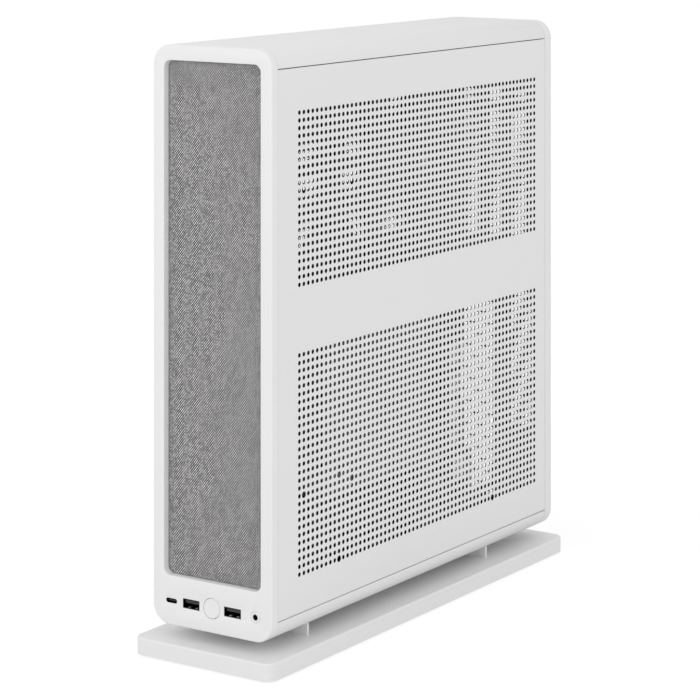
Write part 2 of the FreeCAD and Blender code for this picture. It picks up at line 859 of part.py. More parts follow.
def psu_shell():
    """Steel box of the power supply, open on its fan side."""
    outer = block(psu_x_low, psu_x_high, psu_y_low, psu_y_high, psu_z_low, psu_z_high)
    inner = block(psu_x_low - 1.0, psu_x_high - psu_wall, psu_y_low + psu_wall, psu_y_high - psu_wall,
                  psu_z_low + psu_wall, psu_z_high - psu_wall)
    shell = outer.cut(inner)
    tools = [switch_pocket(psu_y_high - 3.0, psu_y_high + 1.0)]
    for row in range(12):
        z = psu_cz + 4.0 + row * 3.6
        tools.append(block(psu_x_low + 6.0, psu_x_low + 30.0, psu_y_high - 3.0, psu_y_high + 1.0, z,
                           z + 2.2))
    for z in bundle_heights():
        tools.append(rod(V(psu_exit_x, psu_y_low - 1.0, z), Y_AXIS, 3.0, bundle_d + 0.4))
    return cut_all(shell, tools)


def psu_cover():
    """Fan side cover with its wire grille."""
    x1 = psu_x_low + psu_wall
    plate = block(psu_x_low, x1, psu_y_low + psu_wall + 0.1, psu_y_high - psu_wall - 0.1,
                  psu_z_low + psu_wall + 0.1, psu_z_high - psu_wall - 0.1)
    centre = V(psu_x_low - 1.0, psu_cy, psu_cz)
    plate = plate.cut(rod(centre, X_AXIS, psu_wall + 2.0, psu_fan_d))
    start = V(psu_x_low, psu_cy, psu_cz)
    pieces = [plate]
    for i in range(1, 6):
        radius = i * psu_fan_d / 12.0
        pieces.append(tube(start, X_AXIS, psu_wall, 2.0 * radius + 1.6, 2.0 * radius - 1.6))
    for angle in (45.0, 135.0):
        bar = block(psu_x_low, x1, psu_cy - psu_fan_d / 2.0 - 1.0, psu_cy + psu_fan_d / 2.0 + 1.0,
                    psu_cz - 0.8, psu_cz + 0.8)
        bar.rotate(start, X_AXIS, angle)
        pieces.append(bar)
    return fused(pieces)


def psu_fan_frame():
    return fan_frame(V(psu_x_low + psu_wall, psu_cy, psu_cz), 92.0, psu_fan_t, psu_fan_d + 2.0)


def psu_fan_rotor():
    centre = V(psu_x_low + psu_wall + 1.5 + run_gap, psu_cy, psu_cz)
    return rotor(centre, psu_fan_d - 1.0, psu_fan_t - 3.0, fan_blades)


def psu_board():
    x1 = psu_x_high - psu_wall - 3.0
    return block(x1 - pcb_t, x1, psu_y_low + 3.0, psu_y_high - 4.0, psu_z_low + 3.0, psu_z_high - 3.0)


def psu_parts():
    """Transformer, capacitors, coils and heatsinks on the power supply's board, and its posts."""
    x = psu_x_high - psu_wall - 3.0 - pcb_t
    parts = [block(x - 26.0, x, psu_cy - 16.0, psu_cy + 16.0, psu_cz - 14.0, psu_cz + 12.0)]
    for y in (psu_y_low + 9.0, psu_y_high - 10.0):
        for z in (psu_z_low + 9.0, psu_z_high - 9.0):
            parts.append(rod(V(x + pcb_t, y, z), X_AXIS, 3.0, 5.0))
    for y in (psu_y_low + 16.0, psu_y_high - 24.0):
        parts.append(rod(V(x, y, psu_cz + 20.0), V(-1, 0, 0), 28.0, 18.0))
        parts.append(tube(V(x, y, psu_cz - 22.0), V(-1, 0, 0), 12.0, 22.0, 9.0))
    for z in (psu_z_low + 10.0, psu_z_high - 16.0):
        parts.append(block(x - 24.0, x, psu_cy - 36.0, psu_cy + 30.0, z, z + 3.0))
    return joined(parts)


def psu_inlet():
    """Face plate on the power supply's rear: the mains socket and the switch's frame."""
    y0 = psu_y_high
    y1 = psu_y_high + panel_plate_t
    plate = block(psu_plug_x - 12.5, psu_plug_x + 12.5, y0, y1, psu_plug_z - 14.0,
                  switch_z + switch_h / 2.0 + 3.0)
    return plate.cut(switch_pocket(y0 - 1.0, y1 + 1.0))


def psu_switch():
    """Rocker switch on an X pivot."""
    half = switch_h / 2.0
    y1 = psu_y_high + panel_plate_t
    body = block(psu_plug_x - switch_w / 2.0, psu_plug_x + switch_w / 2.0, switch_y - 5.0, y1 - 0.5,
                 switch_z - half, switch_z + half)
    front = block(psu_plug_x - switch_w / 2.0, psu_plug_x + switch_w / 2.0, switch_y - 5.0, y1 + 1.5,
                  switch_z - half, switch_z + half)
    crown_r = y1 + 1.5 - (switch_y - 20.0)
    crown = rod(V(psu_plug_x - switch_w, switch_y - 20.0, switch_z), X_AXIS, 2.0 * switch_w,
                2.0 * crown_r)
    return fused([body, front.common(crown)])


# ---- mains lead inside the case -----------------------------------------------------------


def rear_inlet():
    """Mains inlet in the rear wall, with its three blades."""
    w = inlet_w / 2.0
    h = inlet_h / 2.0
    body = block(inlet_x - w, inlet_x + w, y_inlet_back, y_wall, inlet_cz - h, inlet_cz + h)
    flange = block(inlet_x - w - inlet_flange, inlet_x + w + inlet_flange, y_wall,
                   y_wall + inlet_flange_t,
                   inlet_cz - h - inlet_flange, inlet_cz + h + inlet_flange)
    cavity = block(inlet_x - w + inlet_wall, inlet_x + w - inlet_wall, y_inlet_back + 4.0, y_wall + 5.0,
                   inlet_cz - h + inlet_wall, inlet_cz + h - inlet_wall)
    cavity = rounded(cavity, Y_AXIS, 3.0)
    return fused([body, flange]).cut(cavity)


def inlet_blades():
    blades = []
    for x, z in ((-7.0, -2.0), (7.0, -2.0), (0.0, 2.5)):
        blades.append(block(inlet_x + x - 1.0, inlet_x + x + 1.0, y_inlet_back + 4.0, y_wall - 1.0,
                            inlet_cz + z - 2.0, inlet_cz + z + 2.0))
    return joined(blades)


def lead_plug():
    """Right-angled plug at the power supply's mains socket."""
    body = block(psu_plug_x - plug_w / 2.0, psu_plug_x + plug_w / 2.0, y_plug, y_plug + plug_y,
                 psu_plug_z - plug_h / 2.0, psu_plug_z + plug_h / 2.0)
    return rounded(body, Y_AXIS, 3.0)


def mains_lead():
    start = V(psu_plug_x, y_plug + plug_y / 2.0, psu_plug_z - plug_h / 2.0)
    end = V(inlet_x, y_inlet_back, inlet_cz)
    points = [start, start.add(V(0, 0, -30)), start.add(V(0, 22, -52)),
              end.add(V(1.0, -68, -4.5)), end.add(V(0, -30, 0)), end]
    return cable("mains_lead", points, lead_d)


# ---- mainboard ----------------------------------------------------------------------------
def board_corners(inset):
    return [(y, z) for y in (board_y_low + inset, board_y_high - inset)
            for z in (board_z_low + inset, board_z_low + board_size - inset)]


def mainboard():
    plate = block(board_x, board_face, board_y_low, board_y_high, board_z_low, board_z_low + board_size)
    tools = [rod(V(board_x - 1.0, y, z), X_AXIS, pcb_t + 2.0, board_screw_d + 2.0 * stud_fit)
             for y, z in board_corners(board_hole_inset)]
    return cut_all(plate, tools)


def board_standoffs():
    bars = []
    for y, z in board_corners(board_hole_inset):
        bar = hex_bar(V(tray_face, y, z), X_AXIS, standoff_l, standoff_d)
        bore = rod(V(tray_face + 0.5, y, z), X_AXIS, standoff_l, board_screw_d + 2.0 * stud_fit)
        bars.append(bar.cut(bore))
    return joined(bars)


def board_screws():
    return joined([screw(V(board_face, y, z), V(-1, 0, 0), pcb_t + 3.0, board_screw_d, 5.5, 1.8)
                   for y, z in board_corners(board_hole_inset)])


def io_shield():
    """Port plate: openings for the sockets beside a slotted vent."""
    y0 = y_wall_in
    y1 = y_wall_in + 0.6
    half = io_w / 2.0 - seat_gap
    plate = block(io_centre_x - half, io_centre_x + half, y0, y1, z_io + seat_gap, z_io + io_h - seat_gap)
    tools = []
    for z0, z1, height in port_list():
        tools.append(block(board_face - 0.2, board_face + height + 0.3, y0 - 1.0, y1 + 1.0, z0 - 0.3,
                           z1 + 0.3))
    vent_x1 = io_centre_x + half - io_edge
    step = (io_h - 2.0 * io_edge) / io_rows
    for row in range(io_rows):
        z = z_io + io_edge + row * step
        beside = [height for z0, z1, height in port_list()
                  if z0 - io_bar_t < z + step and z < z1 + io_bar_t]
        vent_x0 = board_face + io_edge + max(beside, default=0.0)
        tools.append(block(vent_x0, vent_x1, y0 - 1.0, y1 + 1.0, z, z + step - io_bar_t))
    return cut_all(plate, tools)


def port_list():
    """Low and high Z and height above the board of each rear socket."""
    base = z_io
    return [(base + 12.0, base + 28.0, 13.4), (base + 36.0, base + 50.0, 7.0),
            (base + 55.0, base + 69.0, 7.0),
            (base + 76.0, base + 91.0, 6.0), (base + 98.0, base + 114.0, 6.4),
            (base + 122.0, base + 129.0, 7.0),
            (base + 134.0, base + 141.0, 7.0)]


def rear_socket(z0, z1, height, depth):
    """Socket on the board, its mouth through the port plate."""
    y1 = y_wall_in + 1.0
    outer = block(board_face, board_face + height, y1 - depth, y1, z0, z1)
    inner = block(board_face + 0.6, board_face + height - 0.6, y1 - depth + 2.0, y1 + 1.0, z0 + 0.6,
                  z1 - 0.6)
    return outer.cut(inner)


def network_socket():
    z0, z1, height = port_list()[0]
    return rear_socket(z0, z1, height, 21.0)


def rear_usb_sockets():
    return joined([rear_socket(z0, z1, height, 16.0) for z0, z1, height in port_list()[1:3]])


def video_sockets():
    return joined([rear_socket(z0, z1, height, 14.0) for z0, z1, height in port_list()[3:5]])


def socket_tongues():
    """Contact tongues inside the flat rear sockets."""
    tongues = []
    for z0, z1, height in port_list()[1:5]:
        mid = board_face + height / 2.0
        tongues.append(block(mid - 0.8, mid + 0.8, y_wall_in - 10.8, y_wall_in - 1.0, z0 + 2.0, z1 - 2.0)
                       .fuse(block(mid - 1.5, mid + 1.5, y_wall_in - 10.8, y_wall_in - 9.0, z0 + 0.6,
                                   z1 - 0.6)))
    return joined(tongues)


def rear_audio_jacks():
    jacks = []
    for z0, z1, height in port_list()[5:]:
        body = block(board_face, board_face + height, y_wall_in - 13.0, y_wall_in + 1.0, z0, z1)
        bore = rod(V(board_face + height / 2.0, y_wall_in + 2.0, (z0 + z1) / 2.0), V(0, -1, 0), 12.0,
                   jack_bore_d)
        jacks.append(body.cut(bore))
    return joined(jacks)


def cpu_package():
    half = 22.0
    return block(board_face, board_face + socket_h, cooler_cy - half, cooler_cy + half,
                 cooler_cz - half, cooler_cz + half)


def cpu_heatsink():
    half = heatsink_size / 2.0
    base = block(x_sink, x_fins, cooler_cy - half, cooler_cy + half, cooler_cz - half, cooler_cz + half)
    step = (heatsink_size - fin_t) / (heatsink_fins - 1)
    fins = []
    for i in range(heatsink_fins):
        y = cooler_cy - half + i * step
        fins.append(block(x_fins - 0.5, x_cpu_fan, y, y + fin_t, cooler_cz - half, cooler_cz + half))
    return fused([base] + fins)


def cpu_fan_frame():
    return fan_frame(V(x_cpu_fan, cooler_cy, cooler_cz), cpu_fan_size, cpu_fan_t, cpu_fan_size - 6.0)


def cpu_fan_rotor():
    centre = V(x_cpu_fan + 1.5 + run_gap, cooler_cy, cooler_cz)
    return rotor(centre, cpu_fan_size - 8.0, cpu_fan_t - 2.5, fan_blades)


def memory_starts():
    return [board_y_low + 13.0, board_y_low + 82.5]


def memory_sockets():
    z0 = board_z_low + 6.0
    sockets = []
    for y in memory_starts():
        sockets.append(block(board_face, board_face + 5.0, y, y + 69.0, z0, z0 + 7.0))
    return joined(sockets)


def memory_modules():
    z0 = board_z_low + 13.0
    return joined([block(board_face + 2.6, board_face + 3.8, y + 0.7, y + 68.3, z0, z0 + 29.0)
                   for y in memory_starts()])


def solid_state_stick():
    y0 = board_y_high - 47.0
    z0 = board_z_low + 62.0
    stick = block(board_face + 2.0, board_face + 2.8, y0, y0 + 22.0, z0, z0 + 78.0)
    chips = [block(board_face + 2.8, board_face + 4.2, y0 + 3.0, y0 + 19.0, z0 + z, z0 + z + 16.0)
             for z in (8.0, 30.0, 52.0)]
    return fused([stick] + chips)


def stick_socket():
    y0 = board_y_high - 47.0
    z0 = board_z_low + 62.0
    post = block(board_face, board_face + 2.0, y0 + 8.0, y0 + 14.0, z0 + 70.0, z0 + 76.0)
    seat = block(board_face, board_face + 3.5, y0, y0 + 22.0, z0 - 5.0, z0)
    return joined([seat, post])


def plug_list():
    """Low Z, length and cable diameter of the plugs at the board's front edge."""
    return [(board_z_low + 104.0, 52.0, bundle_d), (board_z_low + 66.0, 20.0, bundle_d),
            (board_z_low + 44.0, 20.0, 4.0)]


def board_sockets():
    return joined([block(board_face, plug_x1, y_socket, y_socket + 9.0, z, z + length)
                   for z, length, _ in plug_list()])


def board_plugs():
    return joined([block(plug_x0, plug_x1, y_socket - 14.0, y_socket, z + 0.5, z + length - 0.5)
                   for z, length, _ in plug_list()])


def chip_heatsink():
    y0 = board_y_low + 143.0
    z0 = board_z_low + 48.0
    return block(board_face, board_face + 5.0, y0 - 20.0, y0, z0 - 4.0, z0 + 8.0)


def bundle_heights():
    return [z + length / 2.0 for z, length, _ in plug_list()[:2]]


def power_bundle(name, z):
    """Cable that leaves the power supply's front, turns round it and runs back to the board."""
    bend_r = (psu_exit_x - plug_mid) / 2.0
    corner = bend_r * math.tan(math.pi / 8.0)
    mid_x = (psu_exit_x + plug_mid) / 2.0
    mid_y = psu_y_low - 7.0
    points = [V(psu_exit_x, psu_y_low, z), V(psu_exit_x, mid_y - corner, z),
              V(mid_x + corner, mid_y - bend_r, z), V(mid_x - corner, mid_y - bend_r, z),
              V(plug_mid, mid_y - corner, z), V(plug_mid - 0.6, psu_y_low + 12.0, z - 0.5),
              V(plug_mid + 0.5, psu_y_low + 54.0, z + 0.5), V(plug_mid, y_socket - 14.0, z)]
    return cable(name, points, bundle_d)


def board_power_cable():
    return power_bundle("board_power_cable", bundle_heights()[0])


def processor_power_cable():
    return power_bundle("processor_power_cable", bundle_heights()[1])


def front_board_plug():
    return block(front_lead_x - 5.0, front_lead_x + 5.0, y_chassis - 8.0, y_chassis - 2.0,
                 z_front_pcb, z_front_pcb + front_plug_h)


def front_cable():
    z, length, diameter = plug_list()[2]
    start = V(front_lead_x, y_chassis - 2.0, front_lead_z)
    end = V(plug_mid, y_socket - 14.0, z + length / 2.0)
    points = [start, start.add(V(0, 26, 0)), start.add(V(-2.5, 64, 8)), end.add(V(0.4, -56, -12)),
              end.add(V(0, -24, 0)), end]
    return cable("front_cable", points, diameter)


def drive():
    """Flat solid state drive on the tray."""
    y0 = y_inner + 22.0
    z0 = z_panel_low + clip_size + 2.0
    return rounded(block(tray_face, tray_face + 7.0, y0, y0 + 100.0, z0, z0 + 69.85), X_AXIS, 2.0)


# ---- card riser ---------------------------------------------------------------------------


def card_socket():
    """Edge socket on the mainboard's top edge."""
    z1 = board_z_low + board_size - 2.0
    return block(board_face, board_face + 11.0, ribbon_y - 44.5, ribbon_y + 44.5, z1 - 7.5, z1)


def riser_plug():
    """Paddle of the riser ribbon, pushed into the edge socket."""
    z1 = board_z_low + board_size - 2.0
    x0 = board_face + 11.0
    return block(x0, x0 + 5.0, ribbon_y - 42.0, ribbon_y + 42.0, z1 - 7.0, z1)


def riser_ribbon():
    """Flat ribbon from the paddle up through the shelf to the riser board."""
    z0 = board_z_low + board_size - 2.0
    z1 = z_shelf + sheet_t + 3.0 + pcb_t
    x0 = ribbon_x - ribbon_t / 2.0
    up = block(x0, x0 + ribbon_t, ribbon_y - ribbon_w / 2.0, ribbon_y + ribbon_w / 2.0, z0, z1 + ribbon_t)
    over = block(x0, slot_centre_x + 4.0, ribbon_y - ribbon_w / 2.0, ribbon_y + ribbon_w / 2.0, z1,
                 z1 + ribbon_t)
    return fused([up, over])


def riser_board():
    z0 = z_shelf + sheet_t + 3.0
    return block(slot_centre_x - 10.0, slot_centre_x + 34.0, ribbon_y - 50.0, ribbon_y + 50.0, z0,
                 z0 + pcb_t)


def riser_posts():
    z0 = z_shelf + sheet_t
    posts = []
    for x in (-6.0, 30.0):
        for y in (-46.0, 46.0):
            posts.append(hex_bar(V(slot_centre_x + x, ribbon_y + y, z0), Z_AXIS, 3.0, 5.0))
    return joined(posts)


def riser_socket():
    """Upright card socket on the riser board, in line with the last slot."""
    z0 = z_shelf + sheet_t + 3.0 + pcb_t
    x = slot_rows()[2]
    body = block(x - 3.8, x + 3.8, ribbon_y - 44.5, ribbon_y + 44.5, z0, z0 + 11.0)
    return body.cut(block(x - 1.0, x + 1.0, ribbon_y - 42.0, ribbon_y + 42.0, z0 + 2.0, z0 + 12.0))


# ---- chamber fans -------------------------------------------------------------------------
def fan_centre(i):
    return V(fan_x, y_inner + fan_first + fan_size * (i + 0.5), fan_cz + sheet_t)


def chamber_fan_frames():
    bore_d = fan_size - 2.0 * fan_wall
    return joined([fan_frame(fan_centre(i), fan_size - 0.4, fan_t, bore_d) for i in (0, 1)])


def fan_brackets():
    """Angle rails that carry the two fans off the shelf and the top plate."""
    y0 = y_inner + fan_first
    y1 = y0 + 2.0 * fan_size
    low = z_shelf + sheet_t
    z0 = fan_centre(0).z - fan_size / 2.0 + 0.2
    lower = block(fan_x + fan_t, fan_x + fan_t + sheet_t, y0, y1, low, low + 10.0)
    foot = block(fan_x + 2.0, fan_x + fan_t + sheet_t, y0, y1, low, z0)
    z1 = z0 + fan_size - 0.4
    upper = block(fan_x + fan_t, fan_x + fan_t + sheet_t, y0 + 14.0, y1 - 14.0, z1 - 8.0, z_roof)
    return joined([fused([lower, foot]), upper])


def chamber_fan_rotor(i):
    centre = fan_centre(i).add(V(1.5 + run_gap, 0, 0))
    return rotor(centre, fan_size - 2.0 * fan_wall - 3.0, fan_t - 3.5, fan_blades)


# ---- groups of small pieces ----------------------------------------------------------------
def together(*groups):
    """One node's shape from several groups of separate solids."""
    solids = []
    for group in groups:
        solids += group.Solids
    return joined(solids)


def all_clips():
    return together(panel_clips(), cover_clips())


def all_screws():
    return together(foot_screws(), slot_screws(), board_screws())


def all_standoffs():
    return together(front_board_posts(), board_standoffs(), riser_posts())


def front_shells():
    return together(front_usb_shells(), front_usb_c_shell())


def front_cores():
    return together(front_usb_tongues(), front_usb_c_tongue(), usb_seats())


def cable_plugs():
    return together(board_plugs(), front_board_plug())


def rear_metal():
    return together(network_socket(), rear_usb_sockets(), video_sockets(), inlet_blades())


def rear_cores():
    return together(socket_tongues(), rear_audio_jacks())


def black_sockets():
    return together(memory_sockets(), board_sockets(), card_socket(), stick_socket(), riser_plug(),
                    riser_socket())


def board_modules():
    return together(memory_modules(), solid_state_stick())


def heatsinks():
    return together(cpu_heatsink(), chip_heatsink())


def power_cables():
    return together(board_power_cable(), processor_power_cable())


def psu_internals():
    return together(psu_board(), psu_parts())


def fan_frames():
    return together(chamber_fan_frames(), cpu_fan_frame(), psu_fan_frame())


# ---- every node ---------------------------------------------------------------------------
NODES = {
    "top_shell": top_shell,
    "bottom_shell": bottom_shell,
    "rear_frame": rear_frame,
    "right_panel": lambda: side_panel(1),
    "right_panel_studs": lambda: panel_studs(1),
    "left_panel": lambda: side_panel(-1),
    "left_panel_studs": lambda: panel_studs(-1),
    "panel_clips": all_clips,
    "foot_plate": foot_plate,
    "foot_risers": foot_risers,
    "foot_pads": foot_pads,
    "screws": all_screws,
    "standoffs": all_standoffs,
    "front_bezel": front_bezel,
    "front_fabric": front_fabric,
    "fabric_frame": fabric_frame,
    "cover_studs": cover_studs,
    "front_board": front_board,
    "front_usb_shells": front_shells,
    "front_usb_cores": front_cores,
    "front_jack": front_jack,
    "front_cable": front_cable,
    "cable_plugs": cable_plugs,
    "power_button": power_button,
    "button_switch": button_switch,
    "base_plate": base_plate,
    "top_plate": top_plate,
    "front_wall": front_wall,
    "rear_wall": rear_wall,
    "mid_shelf": mid_shelf,
    "board_tray": board_tray,
    "slot_covers": slot_covers,
    "psu_shelf": psu_shelf,
    "psu_shell": psu_shell,
    "psu_cover": psu_cover,
    "psu_fan_rotor": psu_fan_rotor,
    "psu_internals": psu_internals,
    "psu_inlet": psu_inlet,
    "psu_switch": psu_switch,
    "rear_inlet": rear_inlet,
    "lead_plug": lead_plug,
    "mains_lead": mains_lead,
    "power_cables": power_cables,
    "mainboard": mainboard,
    "board_sockets": black_sockets,
    "board_modules": board_modules,
    "io_shield": io_shield,
    "rear_sockets": rear_metal,
    "rear_socket_cores": rear_cores,
    "cpu_package": cpu_package,
    "heatsinks": heatsinks,
    "cpu_fan_rotor": cpu_fan_rotor,
    "drive": drive,
    "riser_ribbon": riser_ribbon,
    "riser_board": riser_board,
    "fan_frames": fan_frames,
    "fan_brackets": fan_brackets,
    "front_chamber_rotor": lambda: chamber_fan_rotor(0),
    "rear_chamber_rotor": lambda: chamber_fan_rotor(1),
}


def main():
    os.makedirs("parts", exist_ok=True)
    for name, make in NODES.items():
        shape = make()
        print(name, len(shape.Solids), "solids, volume", round(shape.Volume, 1), "valid", shape.isValid())
        shape.exportStep("parts/" + name + ".step")


main()
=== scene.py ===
"""Looks of a slim vertical desktop computer tower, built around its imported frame.

Metres. +Z is up, the front faces -Y and the origin is on the floor under the middle of the foot.
"""
import json
import logging
import math
from dataclasses import dataclass, field
from enum import Enum
from typing import Callable, ClassVar, Dict, List, Optional, Sequence, Tuple, Union

import bpy
from mathutils import Matrix, Vector


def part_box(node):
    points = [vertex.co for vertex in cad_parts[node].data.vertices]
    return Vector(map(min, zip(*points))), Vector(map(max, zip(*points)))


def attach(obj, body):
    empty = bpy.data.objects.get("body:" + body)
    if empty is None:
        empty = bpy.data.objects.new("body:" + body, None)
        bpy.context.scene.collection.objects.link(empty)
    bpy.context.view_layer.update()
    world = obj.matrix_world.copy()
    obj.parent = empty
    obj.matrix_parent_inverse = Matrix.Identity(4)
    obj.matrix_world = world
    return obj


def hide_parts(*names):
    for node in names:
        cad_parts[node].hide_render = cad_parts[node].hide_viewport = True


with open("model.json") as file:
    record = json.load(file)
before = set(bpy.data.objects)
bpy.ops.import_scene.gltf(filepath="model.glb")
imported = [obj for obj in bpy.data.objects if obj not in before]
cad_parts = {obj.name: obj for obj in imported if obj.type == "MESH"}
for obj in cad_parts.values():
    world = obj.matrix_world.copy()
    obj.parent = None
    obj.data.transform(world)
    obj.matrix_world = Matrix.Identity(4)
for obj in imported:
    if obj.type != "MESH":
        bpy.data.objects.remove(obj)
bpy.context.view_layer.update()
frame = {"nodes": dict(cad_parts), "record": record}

MM = 0.001
ALONG = 0.99
WHITE = (1.0, 1.0, 1.0)
TOUCH = 0.01 * MM
PAST = 1.0 * MM
SMOOTH_ANGLE = math.radians(32.0)

Colour = Tuple[float, float, float]
Object = bpy.types.Object
Material = bpy.types.Material
Node = bpy.types.Node
Socket = bpy.types.NodeSocket
Tree = bpy.types.NodeTree
Test = Callable[[Vector, Vector], bool]
Inputs = Dict[Union[str, int], object]

log = logging.getLogger("tower")


class Element(Enum):
    """What an edit acts on."""

    EDGE = "EDGE"
    FACE = "FACE"


class Side(Enum):
    """Which side of the case a panel closes, as the sign of its outward X."""

    RIGHT = 1
    LEFT = -1


class Slot(Enum):
    """The record's material slots."""

    WHITE_SHELL = "white_shell"
    WHITE_TRIM = "white_trim"
    BLACK_STEEL = "black_steel"
    BARE_STEEL = "bare_steel"
    ALUMINIUM_FINS = "aluminium_fins"
    GREY_FABRIC = "grey_fabric"
    BLACK_PLASTIC = "black_plastic"
    FAN_PLASTIC = "fan_plastic"
    PSU_GREY = "psu_grey"
    CIRCUIT_BOARD = "circuit_board"
    CABLE_JACKET = "cable_jacket"
    FOOT_RUBBER = "foot_rubber"
    DRIVE_SHELL = "drive_shell"


@dataclass(frozen=True)
class Box:
    """An upright box between two corners."""

    low: Vector
    high: Vector

    @classmethod
    def of(cls, node: str) -> "Box":
        """Box of a CAD node at rest."""
        low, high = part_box(node)
        return cls(Vector(low), Vector(high))

    @property
    def centre(self) -> Vector:
        """Middle of the box."""
        return (self.low + self.high) / 2.0

    @property
    def size(self) -> Vector:
        """Length of the box along each axis."""
        return self.high - self.low

    def grown(self, x: float, y: float, z: float) -> "Box":
        """Box moved outwards by a distance along each axis."""
        by = Vector((x, y, z))
        return Box(self.low - by, self.high + by)

    def within_y(self, y0: float, y1: float) -> "Box":
        """The same box between two places along Y."""
        return Box(Vector((self.low.x, y0, self.low.z)), Vector((self.high.x, y1, self.high.z)))


# ---- bench tools --------------------------------------------------------------------------
def put_down() -> None:
    """Leave edit mode and select nothing."""
    active = bpy.context.view_layer.objects.active
    if active is not None and active.mode != "OBJECT":
        bpy.ops.object.mode_set(mode="OBJECT")
    bpy.ops.object.select_all(action="DESELECT")


def take_up(obj: Object) -> None:
    """Leave edit mode and make one object the only selected and active one.

    Args:
        obj: The object to work on.
    """
    put_down()
    obj.select_set(True)
    bpy.context.view_layer.objects.active = obj


def new_primitive(name: str, add: Callable[[], object]) -> Object:
    """Add a primitive with nothing else selected.

    Args:
        name: Name of the new piece.
        add: Call that runs the primitive's operator.

    Returns:
        The new object.
    """
    put_down()
    add()
    obj = bpy.context.view_layer.objects.active
    obj.name = name
    obj.data.name = name
    return obj


def settle(obj: Object) -> None:
    """Put an object's place, turn and size into its mesh."""
    take_up(obj)
    bpy.ops.object.transform_apply(location=True, rotation=True, scale=True)


def block(name: str, box: Box) -> Object:
    """Upright block.

    Args:
        name: Name of the new piece.
        box: Corners of the block.

    Returns:
        The block.
    """
    obj = new_primitive(name, lambda: bpy.ops.mesh.primitive_cube_add(size=1.0, location=box.centre))
    obj.scale = box.size
    settle(obj)
    return obj


def drum(name: str, start: Vector, length: float, radius: float, sides: int = 64) -> Object:
    """Closed cylinder that runs along +Y.

    Args:
        name: Name of the new piece.
        start: Middle of its -Y end.
        length: Length along Y.
        radius: Radius.
        sides: Number of flats round it.

    Returns:
        The cylinder.
    """
    middle = start + Vector((0.0, length / 2.0, 0.0))
    obj = new_primitive(name, lambda: bpy.ops.mesh.primitive_cylinder_add(
        vertices=sides, radius=radius, depth=length, location=middle, rotation=(math.pi / 2.0, 0.0, 0.0)))
    settle(obj)
    return obj


def edit_all(obj: Object) -> None:
    """Go into edit mode with everything selected."""
    take_up(obj)
    bpy.ops.object.mode_set(mode="EDIT")
    bpy.ops.mesh.select_all(action="SELECT")


def leave_edit() -> None:
    """Go back to object mode."""
    bpy.ops.object.mode_set(mode="OBJECT")


def choose(obj: Object, element: Element, test: Test) -> int:
    """Go into edit mode with the elements that pass a test selected.

    Args:
        obj: The object to edit.
        element: Edges or faces.
        test: Called with an element's middle and its direction, which is a face's normal.

    Returns:
        How many elements are selected.
    """
    take_up(obj)
    bpy.ops.object.mode_set(mode="EDIT")
    bpy.ops.mesh.select_mode(type=element.value)
    bpy.ops.mesh.select_all(action="DESELECT")
    leave_edit()
    mesh = obj.data
    found = 0
    if element is Element.FACE:
        for face in mesh.polygons:
            face.select = test(face.center, face.normal)
            found += face.select
    else:
        for edge in mesh.edges:
            a, b = (mesh.vertices[i].co for i in edge.vertices)
            edge.select = test((a + b) / 2.0, (b - a).normalized())
            found += edge.select
    bpy.ops.object.mode_set(mode="EDIT")
    return found


def round_edges(obj: Object, radius: float, segments: int, test: Test) -> None:
    """Round the edges that pass a test.

    Args:
        obj: The object to edit.
        radius: Radius of the rounding.
        segments: Number of facets in it.
        test: Called with an edge's middle and direction.
    """
    if choose(obj, Element.EDGE, test):
        bpy.ops.mesh.bevel(offset=radius, segments=segments, profile=0.5, affect="EDGES")
    leave_edit()


def remove_faces(obj: Object, test: Test) -> None:
    """Delete the faces that pass a test, with the edges that only they use."""
    if choose(obj, Element.FACE, test):
        bpy.ops.mesh.delete(type="FACE")
    leave_edit()


def rounded_prism(name: str, box: Box, radius: float, segments: int) -> Object:
    """Block with its edges along Y rounded.

    Args:
        name: Name of the new piece.
        box: Corners of the block.
        radius: Radius of the rounded edges.
        segments: Number of facets in each of them.

    Returns:
        The block.
    """
    obj = block(name, box)
    round_edges(obj, radius, segments, lambda middle, way: abs(way.y) > ALONG)
    return obj


def apply_modifier(obj: Object, kind: str, **settings: object) -> None:
    """Add a modifier, set it and apply it.

    Args:
        obj: The object to change.
        kind: Blender's name of the modifier type.
        settings: Values set on the modifier.
    """
    take_up(obj)
    bpy.ops.object.modifier_add(type=kind)
    modifier = obj.modifiers[-1]
    for key, value in settings.items():
        setattr(modifier, key, value)
    bpy.ops.object.modifier_apply(modifier=modifier.name)


def carve(obj: Object, cutter: Object) -> None:
    """Cut one closed object out of another and throw the cutter away."""
    apply_modifier(obj, "BOOLEAN", operation="DIFFERENCE", solver="EXACT", object=cutter)
    bpy.data.objects.remove(cutter)


def join(pieces: Sequence[Object]) -> Object:
    """Join objects into the first of them.

    Args:
        pieces: The objects.

    Returns:
        The first object, which now holds all the meshes.
    """
    take_up(pieces[0])
    for piece in pieces:
        piece.select_set(True)
    if len(pieces) > 1:
        bpy.ops.object.join()
    return pieces[0]


def weld(obj: Object, outward: bool = True) -> None:
    """Merge doubled points, and turn the faces outwards on a closed mesh.

    Args:
        obj: The object to mend.
        outward: Whether normals are worked out again.
    """
    edit_all(obj)
    bpy.ops.mesh.remove_doubles(threshold=TOUCH)
    if outward:
        bpy.ops.mesh.normals_make_consistent(inside=False)
    leave_edit()


def hand_over(obj: Object, body: str, stands_for: Sequence[str] = ()) -> None:
    """Finish a piece: smooth it, let it ride on its body, and report it.

    Args:
        obj: The piece.
        body: Name of the CAD body it moves with.
        stands_for: CAD nodes it is shown instead of.
    """
    take_up(obj)
    bpy.ops.object.shade_smooth_by_angle(angle=SMOOTH_ANGLE)
    obj.select_set(False)
    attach(obj, body)
    if stands_for:
        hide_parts(*stands_for)
    log.info("%s: %d faces, rides on %s", obj.name, len(obj.data.polygons), body)


